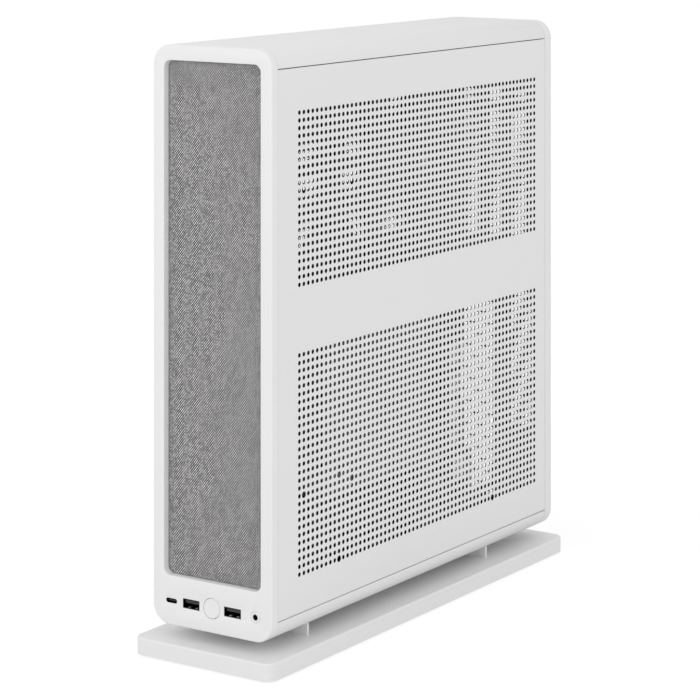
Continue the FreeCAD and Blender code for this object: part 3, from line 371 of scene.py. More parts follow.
# ---- finishes -----------------------------------------------------------------------------
class Graph:
    """A node tree and the few calls that fill it."""

    def __init__(self, tree: Tree) -> None:
        """Take a tree and empty it."""
        self.tree = tree
        tree.nodes.clear()

    def node(self, kind: str, inputs: Optional[Inputs] = None, **settings: object) -> Node:
        """Add a node.

        Args:
            kind: Blender's name of the node type, without its first word Shader.
            inputs: A socket, a colour or a value for each named or numbered input.
            settings: Properties set on the node.

        Returns:
            The node.
        """
        made = self.tree.nodes.new("Shader" + kind)
        for key, value in settings.items():
            setattr(made, key, value)
        for key, value in (inputs or {}).items():
            self.feed(made.inputs[key], value)
        return made

    def group(self, tree: Tree, inputs: Inputs) -> Node:
        """Add a node group.

        Args:
            tree: The group.
            inputs: A socket, a colour or a value for each named input.

        Returns:
            The group's node.
        """
        made = self.node("NodeGroup", node_tree=tree)
        for key, value in inputs.items():
            self.feed(made.inputs[key], value)
        return made

    def feed(self, target: Socket, value: object) -> None:
        """Give an input a socket to follow, a colour or a value."""
        if isinstance(value, Socket):
            self.link(value, target)
        elif target.type == "RGBA":
            target.default_value = (*value, 1.0)
        else:
            target.default_value = value

    def vector(self, operation: str, first: Socket, second: object) -> Socket:
        """Add a Vector Math node.

        Args:
            operation: Its operation.
            first: Its first vector.
            second: Its second vector, or the factor of SCALE.

        Returns:
            Its output.
        """
        last = "Scale" if operation == "SCALE" else 1
        return self.node("NodeVectorMath", {0: first, last: second}, operation=operation).outputs[0]

    def link(self, source: Socket, target: Socket) -> None:
        """Join an output to an input."""
        self.tree.links.new(source, target)

    def math(self, operation: str, *inputs: object) -> Socket:
        """Add a Math node.

        Args:
            operation: Its operation.
            inputs: A socket or a number for each of its inputs.

        Returns:
            Its output.
        """
        return self.node("NodeMath", dict(enumerate(inputs)), operation=operation).outputs[0]

    def mixed(self, factor: object, first: object, second: object) -> Socket:
        """Add a colour Mix node.

        Args:
            factor: A socket or a number.
            first: The colour at factor 0, as a socket or a colour.
            second: The colour at factor 1, as a socket or a colour.

        Returns:
            Its colour output.
        """
        return self.node("NodeMix", {0: factor, 6: first, 7: second}, data_type="RGBA").outputs[2]


def new_group(name: str, inputs: Sequence[Tuple[str, str]], outputs: Sequence[Tuple[str, str]]
              ) -> Tuple[Tree, Graph, Node, Node]:
    """Make an empty shader node group.

    Args:
        name: Name of the group.
        inputs: Name and socket type of each input.
        outputs: Name and socket type of each output.

    Returns:
        The group, its graph, its input node and its output node.
    """
    tree = bpy.data.node_groups.new(name, "ShaderNodeTree")
    for label, kind in inputs:
        tree.interface.new_socket(name=label, in_out="INPUT", socket_type=kind)
    for label, kind in outputs:
        tree.interface.new_socket(name=label, in_out="OUTPUT", socket_type=kind)
    return (tree, Graph(tree), tree.nodes.new("NodeGroupInput"), tree.nodes.new("NodeGroupOutput"))


class Effects:
    """The shader node groups that several finishes share."""

    BROAD_GRAIN: ClassVar[float] = 38.0
    CLOUDS: ClassVar[float] = 11.0
    SPECKS: ClassVar[float] = 700.0
    SPECK_SHARE: ClassVar[float] = 0.5

    def __init__(self) -> None:
        """Build each group once."""
        self.grain = self._grain()
        self.drift = self._drift()
        self.weave = self._weave()

    def _grain(self) -> Tree:
        """Fine relief of a coated, moulded or drawn surface.

        Returns:
            The group, with a height and a gloss change.
        """
        tree, graph, given, result = new_group(
            "surface_grain",
            [("Vector", "NodeSocketVector"), ("Fineness", "NodeSocketFloat"), ("Lay", "NodeSocketVector")],
            [("Height", "NodeSocketFloat"), ("Gloss change", "NodeSocketFloat")])
        lay = graph.vector("MULTIPLY", given.outputs["Vector"], given.outputs["Lay"])
        fine = graph.node("NodeTexNoise", {"Vector": lay, "Scale": given.outputs["Fineness"],
                                           "Detail": 2.0})
        broad = graph.node("NodeTexNoise", {"Vector": lay, "Scale": self.BROAD_GRAIN, "Detail": 3.0})
        both = graph.math("ADD", fine.outputs[0], broad.outputs[0])
        graph.link(fine.outputs[0], result.inputs["Height"])
        graph.link(graph.math("SUBTRACT", both, 1.0), result.inputs["Gloss change"])
        return tree

    def _drift(self) -> Tree:
        """Slow change of brightness over a surface, with fine specks in it.

        Returns:
            The group, which puts out the changed colour.
        """
        tree, graph, given, result = new_group(
            "tone_drift",
            [("Vector", "NodeSocketVector"), ("Colour", "NodeSocketColor"), ("Amount", "NodeSocketFloat")],
            [("Colour", "NodeSocketColor")])
        place = given.outputs["Vector"]
        cloud = graph.node("NodeTexNoise", {"Vector": place, "Scale": self.CLOUDS, "Detail": 4.0})
        speck = graph.node("NodeTexNoise", {"Vector": place, "Scale": self.SPECKS})
        fleck = graph.math("MULTIPLY", speck.outputs[0], self.SPECK_SHARE)
        both = graph.math("ADD", cloud.outputs[0], fleck)
        middle = (1.0 + self.SPECK_SHARE) / 2.0
        swing = graph.math("MULTIPLY", graph.math("SUBTRACT", both, middle), given.outputs["Amount"])
        scaled = graph.vector("SCALE", given.outputs["Colour"], graph.math("ADD", swing, 1.0))
        graph.link(scaled, result.inputs["Colour"])
        return tree

    @staticmethod
    def _weave() -> Tree:
        """Plain weave of upright and level yarns in the XZ plane.

        Returns:
            The group, with which yarn is on top, how high it stands and its own shade.
        """
        tree, graph, given, result = new_group(
            "plain_weave",
            [("Vector", "NodeSocketVector"), ("Upright pitch", "NodeSocketFloat"),
             ("Level pitch", "NodeSocketFloat")],
            [("Upright on top", "NodeSocketFloat"), ("Height", "NodeSocketFloat"),
             ("Shade", "NodeSocketFloat")])
        place = graph.node("NodeSeparateXYZ", {0: given.outputs["Vector"]})
        across = graph.math("DIVIDE", place.outputs["X"], given.outputs["Upright pitch"])
        up = graph.math("DIVIDE", place.outputs["Z"], given.outputs["Level pitch"])
        column = graph.math("FLOOR", across)
        row = graph.math("FLOOR", up)
        parity = graph.math("FLOORED_MODULO", graph.math("ADD", column, row), 2.0)
        arch_x = graph.math("ABSOLUTE", graph.math("SINE", graph.math("MULTIPLY", across, math.pi)))
        arch_z = graph.math("ABSOLUTE", graph.math("SINE", graph.math("MULTIPLY", up, math.pi)))
        pillow = graph.math("POWER", graph.math("MULTIPLY", arch_x, arch_z), 0.5)
        cell = graph.node("NodeCombineXYZ", {"X": column, "Y": row})
        luck = graph.node("NodeTexWhiteNoise", noise_dimensions="2D")
        graph.link(cell.outputs[0], luck.inputs["Vector"])
        graph.link(parity, result.inputs["Upright on top"])
        graph.link(pillow, result.inputs["Height"])
        graph.link(luck.outputs[0], result.inputs["Shade"])
        return tree


@dataclass(frozen=True)
class Finish:
    """A plain finish: paint, moulded plastic, rubber or metal."""

    name: str
    colour: Colour
    roughness: float
    drift: float = 0.04
    grain: float = 0.5 * MM
    relief: float = 0.012 * MM
    gloss_swing: float = 0.10
    metallic: float = 0.0
    specular: float = 0.5
    coat: float = 0.0
    lay: Tuple[float, float, float] = (1.0, 1.0, 1.0)

    def start(self) -> Tuple[Material, Graph, Node, Node]:
        """Make the material with its shader.

        Returns:
            The material, its graph, its shader and its coordinates node.
        """
        material = bpy.data.materials.new(self.name)
        material.use_nodes = True
        graph = Graph(material.node_tree)
        shader = graph.node("NodeBsdfPrincipled", {
            "Metallic": self.metallic, "Specular IOR Level": self.specular, "Coat Weight": self.coat})
        graph.node("NodeOutputMaterial", {"Surface": shader.outputs[0]})
        material.diffuse_color = (*self.colour, 1.0)
        return material, graph, shader, graph.node("NodeTexCoord")

    def surface(self, graph: Graph, shader: Node, vector: Socket,
                effects: Effects, colour: object) -> None:
        """Give the shader its colour, gloss and relief.

        Args:
            graph: The material's graph.
            shader: Its shader.
            vector: Coordinates that the patterns follow.
            effects: The shared node groups.
            colour: The base colour, as a socket or a colour.
        """
        drift = graph.group(effects.drift, {"Vector": vector, "Amount": self.drift, "Colour": colour})
        graph.link(drift.outputs["Colour"], shader.inputs["Base Color"])
        grain = graph.group(effects.grain, {"Vector": vector, "Fineness": 1.0 / self.grain,
                                            "Lay": self.lay})
        swing = graph.math("MULTIPLY", grain.outputs["Gloss change"], self.gloss_swing)
        graph.link(graph.math("ADD", swing, self.roughness), shader.inputs["Roughness"])
        bump = graph.node("NodeBump", {"Strength": 1.0, "Distance": self.relief,
                                       "Height": grain.outputs["Height"]})
        graph.link(bump.outputs[0], shader.inputs["Normal"])

    def build(self, effects: Effects) -> Material:
        """Make the material.

        Args:
            effects: The shared node groups.

        Returns:
            The material.
        """
        material, graph, shader, place = self.start()
        self.surface(graph, shader, place.outputs["Object"], effects, self.colour)
        return material


@dataclass(frozen=True)
class BoardFinish(Finish):
    """Solder mask over copper tracks."""

    track: Colour = (0.07, 0.13, 0.08)
    track_pitch: float = 3.0 * MM
    track_share: float = 0.08

    def build(self, effects: Effects) -> Material:
        """Make the material, with tracks between the cells of a square pattern.

        Args:
            effects: The shared node groups.

        Returns:
            The material.
        """
        material, graph, shader, place = self.start()
        cells = graph.node("NodeTexVoronoi", {"Vector": place.outputs["Object"],
                                              "Scale": 1.0 / self.track_pitch},
                           feature="DISTANCE_TO_EDGE")
        on_track = graph.math("LESS_THAN", cells.outputs["Distance"], self.track_share)
        self.surface(graph, shader, place.outputs["Object"], effects,
                     graph.mixed(on_track, self.colour, self.track))
        return material


@dataclass(frozen=True)
class WovenFinish(Finish):
    """Two-tone plain weave: light upright yarns over dark level ones, with painted shade where the yarns
    dip.
    """

    dark: Colour = (0.022, 0.0215, 0.022)
    upright_pitch: float = 0.87 * MM
    level_pitch: float = 0.98 * MM
    yarn_height: float = 0.16 * MM
    shade_swing: float = 0.80
    slub: float = 0.40
    crevice_painted_shade: float = 0.45
    sheen: float = 0.15
    wander: float = 0.5 * MM
    wander_scale: float = 60.0
    streak: Tuple[float, float, float] = (900.0, 0.0, 45.0)

    def build(self, effects: Effects) -> Material:
        """Make the material.

        Args:
            effects: The shared node groups.

        Returns:
            The material.
        """
        material, graph, shader, place = self.start()
        on_cloth = place.outputs["Object"]
        graph.feed(shader.inputs["Sheen Weight"], self.sheen)
        graph.feed(shader.inputs["Sheen Roughness"], 0.5)
        wander = graph.node("NodeTexNoise", {"Vector": on_cloth, "Scale": self.wander_scale})
        nudge = graph.vector("SCALE", wander.outputs["Color"], self.wander)
        weave = graph.group(effects.weave, {"Vector": graph.vector("ADD", on_cloth, nudge),
                                            "Upright pitch": self.upright_pitch,
                                            "Level pitch": self.level_pitch})
        streak = graph.node("NodeTexNoise", {"Scale": 1.0,
                                             "Vector": graph.vector("MULTIPLY", on_cloth, self.streak)})
        yarn = graph.mixed(weave.outputs["Upright on top"], self.dark, self.colour)
        # The yarns' height darkens the colour where they dip under each other: painted shade in the
        # crevices of the weave. The streaks and the random tone of each yarn are the cloth's own.
        level: object = 1.0
        for source, middle, swing in ((weave.outputs["Height"], 0.6, self.crevice_painted_shade),
                                      (streak.outputs[0], 0.5, self.slub),
                                      (weave.outputs["Shade"], 0.5, self.shade_swing)):
            change = graph.math("MULTIPLY", graph.math("SUBTRACT", source, middle), swing)
            level = graph.math("ADD", level, change)
        graph.link(graph.vector("SCALE", yarn, level), shader.inputs["Base Color"])
        gloss = graph.math("MULTIPLY", weave.outputs["Shade"], self.gloss_swing)
        graph.link(graph.math("ADD", gloss, self.roughness), shader.inputs["Roughness"])
        bump = graph.node("NodeBump", {"Distance": self.yarn_height, "Height": weave.outputs["Height"]})
        graph.link(bump.outputs[0], shader.inputs["Normal"])
        return material


class Finishes:
    """Every material, made from its finish."""

    SLOTS: Dict[Slot, Finish] = {
        Slot.WHITE_SHELL: Finish("white_shell", (0.80, 0.80, 0.80), 0.48, drift=0.015, grain=0.45 * MM,
                                 relief=0.010 * MM),
        Slot.WHITE_TRIM: Finish("white_trim", (0.82, 0.82, 0.82), 0.42, drift=0.012, grain=0.35 * MM,
                                relief=0.006 * MM),
        Slot.BLACK_STEEL: Finish("black_steel", (0.012, 0.012, 0.013), 0.55, drift=0.2),
        Slot.BARE_STEEL: Finish("bare_steel", (0.55, 0.55, 0.56), 0.34, drift=0.10, metallic=1.0,
                                grain=0.3 * MM, relief=0.004 * MM, lay=(1.0, 1.0, 0.15)),
        Slot.ALUMINIUM_FINS: Finish("aluminium_fins", (0.60, 0.61, 0.63), 0.30, metallic=1.0,
                                    grain=0.3 * MM, relief=0.004 * MM, lay=(1.0, 1.0, 0.05)),
        Slot.GREY_FABRIC: WovenFinish("grey_fabric", (0.54, 0.53, 0.54), 0.85),
        Slot.BLACK_PLASTIC: Finish("black_plastic", (0.016, 0.016, 0.018), 0.45, drift=0.15),
        Slot.FAN_PLASTIC: Finish("fan_plastic", (0.02, 0.02, 0.022), 0.5, drift=0.15),
        Slot.PSU_GREY: Finish("psu_grey", (0.42, 0.42, 0.43), 0.5, drift=0.08, grain=0.8 * MM,
                              relief=0.03 * MM),
        Slot.CIRCUIT_BOARD: BoardFinish("circuit_board", (0.015, 0.03, 0.02), 0.3, coat=0.3),
        Slot.CABLE_JACKET: Finish("cable_jacket", (0.015, 0.015, 0.015), 0.6, drift=0.2,
                                  lay=(1.0, 1.0, 3.0), relief=0.05 * MM),
        Slot.FOOT_RUBBER: Finish("foot_rubber", (0.03, 0.03, 0.03), 0.8, drift=0.2, relief=0.03 * MM),
        Slot.DRIVE_SHELL: Finish("drive_shell", (0.20, 0.20, 0.21), 0.4, metallic=1.0,
                                 lay=(1.0, 0.1, 1.0)),
    }
    # Near-black finish for the inner faces of the shells and panels and the walls of their holes: painted
    # shade inside the case, not a real lining.
    SHADE_LINING = Finish("painted_shade_lining", (0.010, 0.010, 0.010), 0.7, drift=0.2)
    # Near-black metal for the front USB shells in place of their bare steel: painted shade inside the
    # sockets.
    PORT_SHADE_METAL = Finish("port_painted_shade", (0.02, 0.02, 0.022), 0.35, drift=0.1, metallic=1.0)
    CONTACT = Finish("contact_gold", (0.70, 0.58, 0.34), 0.25, drift=0.08, metallic=1.0, grain=0.2 * MM)

    def __init__(self) -> None:
        """Build the groups and the materials."""
        effects = Effects()
        self.by_slot = {slot: finish.build(effects) for slot, finish in self.SLOTS.items()}
        self.lining = self.SHADE_LINING.build(effects)
        self.port_shade_metal = self.PORT_SHADE_METAL.build(effects)
        self.contact = self.CONTACT.build(effects)

    def dress(self, obj: Object, *materials: Material) -> None:
        """Give an object its materials, in the order of its face indices."""
        obj.data.materials.clear()
        for material in materials:
            obj.data.materials.append(material)

    def complete(self, obj: Object, body: str, slot: Slot, stands_for: Sequence[str] = ()) -> None:
        """Dress a piece in its slot's material and hand it over.

        Args:
            obj: The piece.
            body: Name of the CAD body it moves with.
            slot: The record's slot it takes its finish from.
            stands_for: CAD nodes it is shown instead of.
        """
        self.dress(obj, self.by_slot[slot])
        hand_over(obj, body, stands_for)

    def dress_cad_nodes(self, nodes: Dict[str, Object], subparts: Sequence[Dict[str, str]]) -> None:
        """Give each CAD node the material of its slot, but the front USB shells a near-black metal as
        painted shade.

        Args:
            nodes: The frame's nodes by name.
            subparts: The record's list of nodes and slots.
        """
        for row in subparts:
            node = nodes[row["node"]]
            self.dress(node, self.by_slot[Slot(row["material_slot"])])
            log.info("%s: dressed in %s", node.name, row["material_slot"])
        # The front USB shells get the near-black metal instead of their slot's bare steel: painted shade
        # inside the sockets.
        self.dress(nodes["front_usb_shells"], self.port_shade_metal)


# ---- case shells --------------------------------------------------------------------------
@dataclass
class CaseShells:
    """Top and bottom shells and the rear rim: one rounded band of bent sheet in three pieces."""

    finishes: Finishes
    corner_radius: float = 13.0 * MM
    corner_facets: int = 16
    sheet: float = 2.0 * MM
    rim_sheet: float = 3.0 * MM
    edge_radius: float = 0.25 * MM

    def _outline(self) -> Box:
        """Box of the whole case, which the two shells reach from top to bottom."""
        low = Box.of("bottom_shell")
        return Box(low.low, Box.of("top_shell").high)

    def _band(self, name: str, box: Box, sheet: float, keep: Box) -> Object:
        """Bent sheet that follows part of the case's outline.

        Args:
            name: Name of the piece.
            box: The whole outline, between the band's two ends along Y.
            sheet: Thickness of the sheet.
            keep: Box that the band is cut to.

        Returns:
            The band, white outside, with a near-black material on its inner faces as painted shade.
        """
        band = rounded_prism(name, box, self.corner_radius, self.corner_facets)
        remove_faces(band, lambda middle, normal: abs(normal.y) > ALONG)
        for place, normal in ((keep.low, (0.0, 0.0, -1.0)), (keep.high, (0.0, 0.0, 1.0))):
            if box.low.z + TOUCH < place.z < box.high.z - TOUCH:
                edit_all(band)
                bpy.ops.mesh.bisect(plane_co=place, plane_no=normal, clear_outer=True,
                                    clear_inner=False)
                leave_edit()
        # The inner faces get the near-black lining: painted shade inside the case.
        self.finishes.dress(band, self.finishes.by_slot[Slot.WHITE_SHELL], self.finishes.lining)
        apply_modifier(band, "SOLIDIFY", thickness=sheet, offset=-1.0, material_offset=1,
                       use_even_offset=True)
        apply_modifier(band, "BEVEL", width=self.edge_radius, segments=2, limit_method="ANGLE",
                       angle_limit=math.radians(60.0))
        return band

    def build(self) -> None:
        """Make the three pieces."""
        whole = self._outline()
        for name, node in (("top_cap", "top_shell"), ("bottom_cap", "bottom_shell")):
            keep = Box.of(node)
            box = whole.within_y(keep.low.y, keep.high.y)
            piece = self._band(name, box, self.sheet, keep)
            hand_over(piece, "case", [node])
        rim = Box.of("rear_frame")
        piece = self._band("rear_rim", rim, self.rim_sheet, rim)
        hand_over(piece, "case", ["rear_frame"])


# ---- side panels --------------------------------------------------------------------------
@dataclass
class PerforatedPanel:
    """Side panel of folded sheet with two fields of round holes."""

    finishes: Finishes
    side: Side
    node: str
    body: str
    pitch: float = 5.0 * MM
    hole_radius: float = 1.48 * MM
    large_radius: float = 2.15 * MM
    hole_facets: int = 12
    columns: int = 61
    first_column: float = 30.0 * MM
    front_cover_depth: float = 6.7 * MM
    field_top: float = 28.7 * MM
    upper_rows: int = 23
    gap_rows: int = 8
    lower_rows: int = 29
    sheet: float = 0.7 * MM
    fold_radius: float = 0.35 * MM
    large_holes: Tuple[Tuple[int, int], ...] = ((1, 10), (12, 10), (1, 49), (12, 49),
                                                (9, 48), (48, 48), (9, 59), (48, 59))

    def _cell(self, radius: float, y: float, z: float) -> Object:
        """Square of sheet with one round hole.

        Args:
            radius: Radius of the hole.
            y: Place of its middle along Y.
            z: Place of its middle along Z.

        Returns:
            The cell, in the plane of the panel's outer face.
        """
        at = (self.face_x, y, z)
        turn = (0.0, self.side.value * math.pi / 2.0, 0.0)
        cell = new_primitive("cell", lambda: bpy.ops.mesh.primitive_plane_add(
            size=self.pitch, location=at, rotation=turn))
        bpy.ops.object.mode_set(mode="EDIT")
        bpy.ops.mesh.delete(type="ONLY_FACE")
        bpy.ops.mesh.primitive_circle_add(vertices=self.hole_facets, radius=radius, fill_type="NOTHING",
                                          location=at, rotation=turn)
        bpy.ops.mesh.select_mode(type="EDGE")
        bpy.ops.mesh.select_all(action="SELECT")
        bpy.ops.mesh.fill(use_beauty=True)
        leave_edit()
        settle(cell)
        return cell

    def _field(self, top_row: int, rows: int) -> Object:
        """One field of holes.

        Args:
            top_row: Row number of its highest row.
            rows: Number of rows.

        Returns:
            The field as one sheet.
        """
        y, z = self._place(0, top_row)
        cell = self._cell(self.hole_radius, y, z)
        for count, step in ((self.columns, (0.0, self.pitch, 0.0)), (rows, (0.0, 0.0, -self.pitch))):
            apply_modifier(cell, "ARRAY", count=count, use_relative_offset=False,
                           use_constant_offset=True, constant_offset_displace=step)
        cells = [cell]
        inside = [(c, r) for c, r in self.large_holes if top_row <= r < top_row + rows]
        if inside:
            half = self.pitch / 2.0
            spots = [self._place(c, r) for c, r in inside]
            remove_faces(cell, lambda middle, normal: any(
                abs(middle.y - y) < half and abs(middle.z - z) < half for y, z in spots))
            cells += [self._cell(self.large_radius, y, z) for y, z in spots]
        return join(cells)

    def _place(self, column: int, row: int) -> Tuple[float, float]:
        """Place along Y and Z of a hole."""
        return self.first_y + column * self.pitch, self.top_z - row * self.pitch

    def _grow(self, sheet: Object, axis: int, edge: float, target: float, low: float,
              high: float) -> None:
        """Extrude a straight open edge of the sheet to a new place.

        Args:
            sheet: The sheet.
            axis: 1 to move along Y, 2 to move along Z.
            edge: Where the edge lies along that axis.
            target: Where it goes.
            low: Lowest place along the other axis of the stretch that moves.
            high: Highest place along the other axis.
        """
        other = 3 - axis

        def on_edge(middle: Vector, way: Vector) -> bool:
            return (abs(middle[axis] - edge) < TOUCH and abs(way[other]) > ALONG
                    and low - TOUCH < middle[other] < high + TOUCH)

        shift = [0.0, 0.0, 0.0]
        shift[axis] = target - edge
        choose(sheet, Element.EDGE, on_edge)
        bpy.ops.mesh.extrude_edges_move(TRANSFORM_OT_translate={"value": tuple(shift)})
        leave_edit()

    def build(self) -> None:
        """Make the panel."""
        plate = Box.of(self.node)
        self.face_x = plate.high.x if self.side is Side.RIGHT else plate.low.x
        self.first_y = plate.low.y - self.front_cover_depth + self.first_column
        self.top_z = plate.high.z - self.field_top
        half = self.pitch / 2.0
        lower_first = self.upper_rows + self.gap_rows
        last = lower_first + self.lower_rows - 1
        y0, z1 = self._place(0, 0)
        y1, z0 = self._place(self.columns - 1, last)
        gap_top = self._place(0, self.upper_rows - 1)[1] - half
        gap_low = self._place(0, lower_first)[1] + half
        y0, y1, z0, z1 = y0 - half, y1 + half, z0 - half, z1 + half
        sheet = join([self._field(0, self.upper_rows), self._field(lower_first, self.lower_rows)])
        sheet.name = self.node.replace("panel", "side_panel")
        weld(sheet, outward=False)
        self._grow(sheet, 2, gap_top, gap_low, y0, y1)
        weld(sheet, outward=False)
        self._grow(sheet, 2, z1, plate.high.z, y0, y1)
        self._grow(sheet, 2, z0, plate.low.z, y0, y1)
        self._grow(sheet, 1, y0, plate.low.y, plate.low.z, plate.high.z)
        self._grow(sheet, 1, y1, plate.high.y, plate.low.z, plate.high.z)
        self._fold(sheet, plate)
        self._face_outwards(sheet)
        # The inner face and the hole walls get the near-black lining: painted shade seen through the
        # holes.
        self.finishes.dress(sheet, self.finishes.by_slot[Slot.WHITE_SHELL], self.finishes.lining)
        apply_modifier(sheet, "SOLIDIFY", thickness=self.sheet, offset=-1.0, material_offset=1,
                       material_offset_rim=1, use_even_offset=True)
        hand_over(sheet, self.body, [self.node])

    def _fold(self, sheet: Object, plate: Box) -> None:
        """Fold the panel's four edges inwards.

        Args:
            sheet: The flat sheet.
            plate: The panel's box.
        """
        def on_outline(middle: Vector, way: Vector) -> bool:
            return (min(abs(middle.y - plate.low.y), abs(middle.y - plate.high.y)) < TOUCH
                    or min(abs(middle.z - plate.low.z), abs(middle.z - plate.high.z)) < TOUCH)

        choose(sheet, Element.EDGE, on_outline)
        inward = (-self.side.value * plate.size.x, 0.0, 0.0)
        bpy.ops.mesh.extrude_edges_move(TRANSFORM_OT_translate={"value": inward})
        leave_edit()
        weld(sheet, outward=False)
        round_edges(sheet, self.fold_radius, 3, lambda middle, way: (
            abs(middle.x - self.face_x) < TOUCH and on_outline(middle, way)))

    def _face_outwards(self, sheet: Object) -> None:
        """Turn every face the way of the panel's outer side."""
        weld(sheet)
        flat = next(face for face in sheet.data.polygons if abs(face.normal.x) > ALONG)
        if flat.normal.x * self.side.value < 0.0:
            edit_all(sheet)
            bpy.ops.mesh.flip_normals()
            leave_edit()


# ---- front cover --------------------------------------------------------------------------
@dataclass
class FrontCover:
    """Moulded front bezel with its fabric window and the openings for the connectors."""

    finishes: Finishes
    corner_radius: float = 13.0 * MM
    corner_facets: int = 16
    front_edge: float = 1.1 * MM
    wall: float = 3.0 * MM
    window_radius: float = 5.0 * MM
    window_clearance: float = 0.2 * MM
    rim_edge: float = 0.35 * MM
    port_edge: float = 0.12 * MM
    usb_a_x: float = 16.5 * MM
    usb_a: Tuple[float, float] = (13.4 * MM, 6.2 * MM)
    usb_a_corner: float = 0.35 * MM
    usb_c_x: float = -32.4 * MM
    usb_c: Tuple[float, float] = (9.0 * MM, 3.1 * MM)
    button_clearance: float = 0.3 * MM
    jack_x: float = 34.4 * MM
    jack_radius: float = 3.52 * MM
    fabric_roll: float = 0.9 * MM
    fabric_sheet: float = 0.3 * MM

    def _socket_cutter(self, name: str, x: float, z: float, size: Tuple[float, float], radius: float,
                       y0: float, y1: float) -> Object:
        """Cutter for one rounded oblong opening.

        Args:
            name: Name of the cutter.
            x: Middle of the opening along X.
            z: Middle of the opening along Z.
            size: Its width and height.
            radius: Radius of its corners.
            y0: Front end of the cutter.
            y1: Rear end of the cutter.

        Returns:
            The cutter.
        """
        half = Vector((size[0] / 2.0, 0.0, size[1] / 2.0))
        box = Box(Vector((x, y0, z)) - half, Vector((x, y1, z)) + half)
        return rounded_prism(name, box, radius, 6)

    def _bezel(self) -> None:
        """Moulded front cover."""
        body = Box.of("front_bezel")
        fabric = Box.of("front_fabric")
        button = Box.of("power_button")
        y0, y1 = body.low.y - PAST, body.high.y + PAST
        z_port = button.centre.z
        bezel = rounded_prism("front_bezel_cover", body, self.corner_radius, self.corner_facets)
        round_edges(bezel, self.front_edge, 5, lambda middle, way: middle.y < body.low.y + TOUCH)
        window = fabric.grown(self.window_clearance, 0.0, self.window_clearance).within_y(y0, y1)
        pocket = Box(Vector((body.low.x + self.wall, body.low.y + self.wall, body.low.z + self.wall)),
                     Vector((body.high.x - self.wall, y1, window.low.z - self.wall)))
        cutters = [rounded_prism("window_cutter", window, self.window_radius, 8),
                   rounded_prism("pocket_cutter", pocket, self.corner_radius - self.wall, 8)]
        for cutter in cutters:
            carve(bezel, cutter)
        round_edges(bezel, self.rim_edge, 3, lambda middle, way: (
            middle.y < body.low.y + TOUCH and abs(way.y) < 0.5
            and window.low.x - TOUCH < middle.x < window.high.x + TOUCH
            and window.low.z - TOUCH < middle.z < window.high.z + TOUCH))
        holes = [self._socket_cutter("usb_cutter", x, z_port, self.usb_a, self.usb_a_corner, y0, y1)
                 for x in (-self.usb_a_x, self.usb_a_x)]
        holes.append(self._socket_cutter("usb_c_cutter", self.usb_c_x, z_port, self.usb_c,
                                         self.usb_c[1] / 2.0 - TOUCH, y0, y1))
        radius = button.size.x / 2.0 + self.button_clearance
        holes.append(drum("button_cutter", Vector((0.0, y0, z_port)), y1 - y0, radius, 72))
        jack_start = Vector((self.jack_x, y0, z_port))
        holes.append(drum("jack_cutter", jack_start, y1 - y0, self.jack_radius, 48))
        for hole in holes:
            carve(bezel, hole)
        round_edges(bezel, self.port_edge, 2, lambda middle, way: (
            middle.y < body.low.y + TOUCH and abs(way.y) < 0.5
            and abs(middle.z - z_port) < radius + PAST
            and abs(middle.x) < self.jack_x + 2.0 * self.jack_radius
            and middle.z < window.low.z - PAST))
        weld(bezel)
        self.finishes.complete(bezel, "front_cover", Slot.WHITE_TRIM, ["front_bezel"])

    def _fabric(self) -> None:
        """Cloth stretched over the stiff grid, its edge rolled back round it."""
        box = Box.of("front_fabric")
        cloth = rounded_prism("front_cloth", box, self.window_radius, 8)
        remove_faces(cloth, lambda middle, normal: normal.y > -ALONG)
        choose(cloth, Element.FACE, lambda middle, normal: True)
        steps = 3
        bpy.ops.transform.translate(value=(0.0, self.fabric_roll * 0.6, 0.0))
        for i in range(steps):
            share = 1.0 - i / steps
            bpy.ops.mesh.inset(thickness=self.fabric_roll / steps,
                               depth=self.fabric_roll * 0.6 * share * 2.0 / (steps + 1))
        leave_edit()
        apply_modifier(cloth, "SOLIDIFY", thickness=self.fabric_sheet, offset=-1.0, use_even_offset=True)
        self.finishes.complete(cloth, "front_cover", Slot.GREY_FABRIC, ["front_fabric"])

    def build(self) -> None:
        """Make the bezel and its cloth."""
        self._bezel()
        self._fabric()


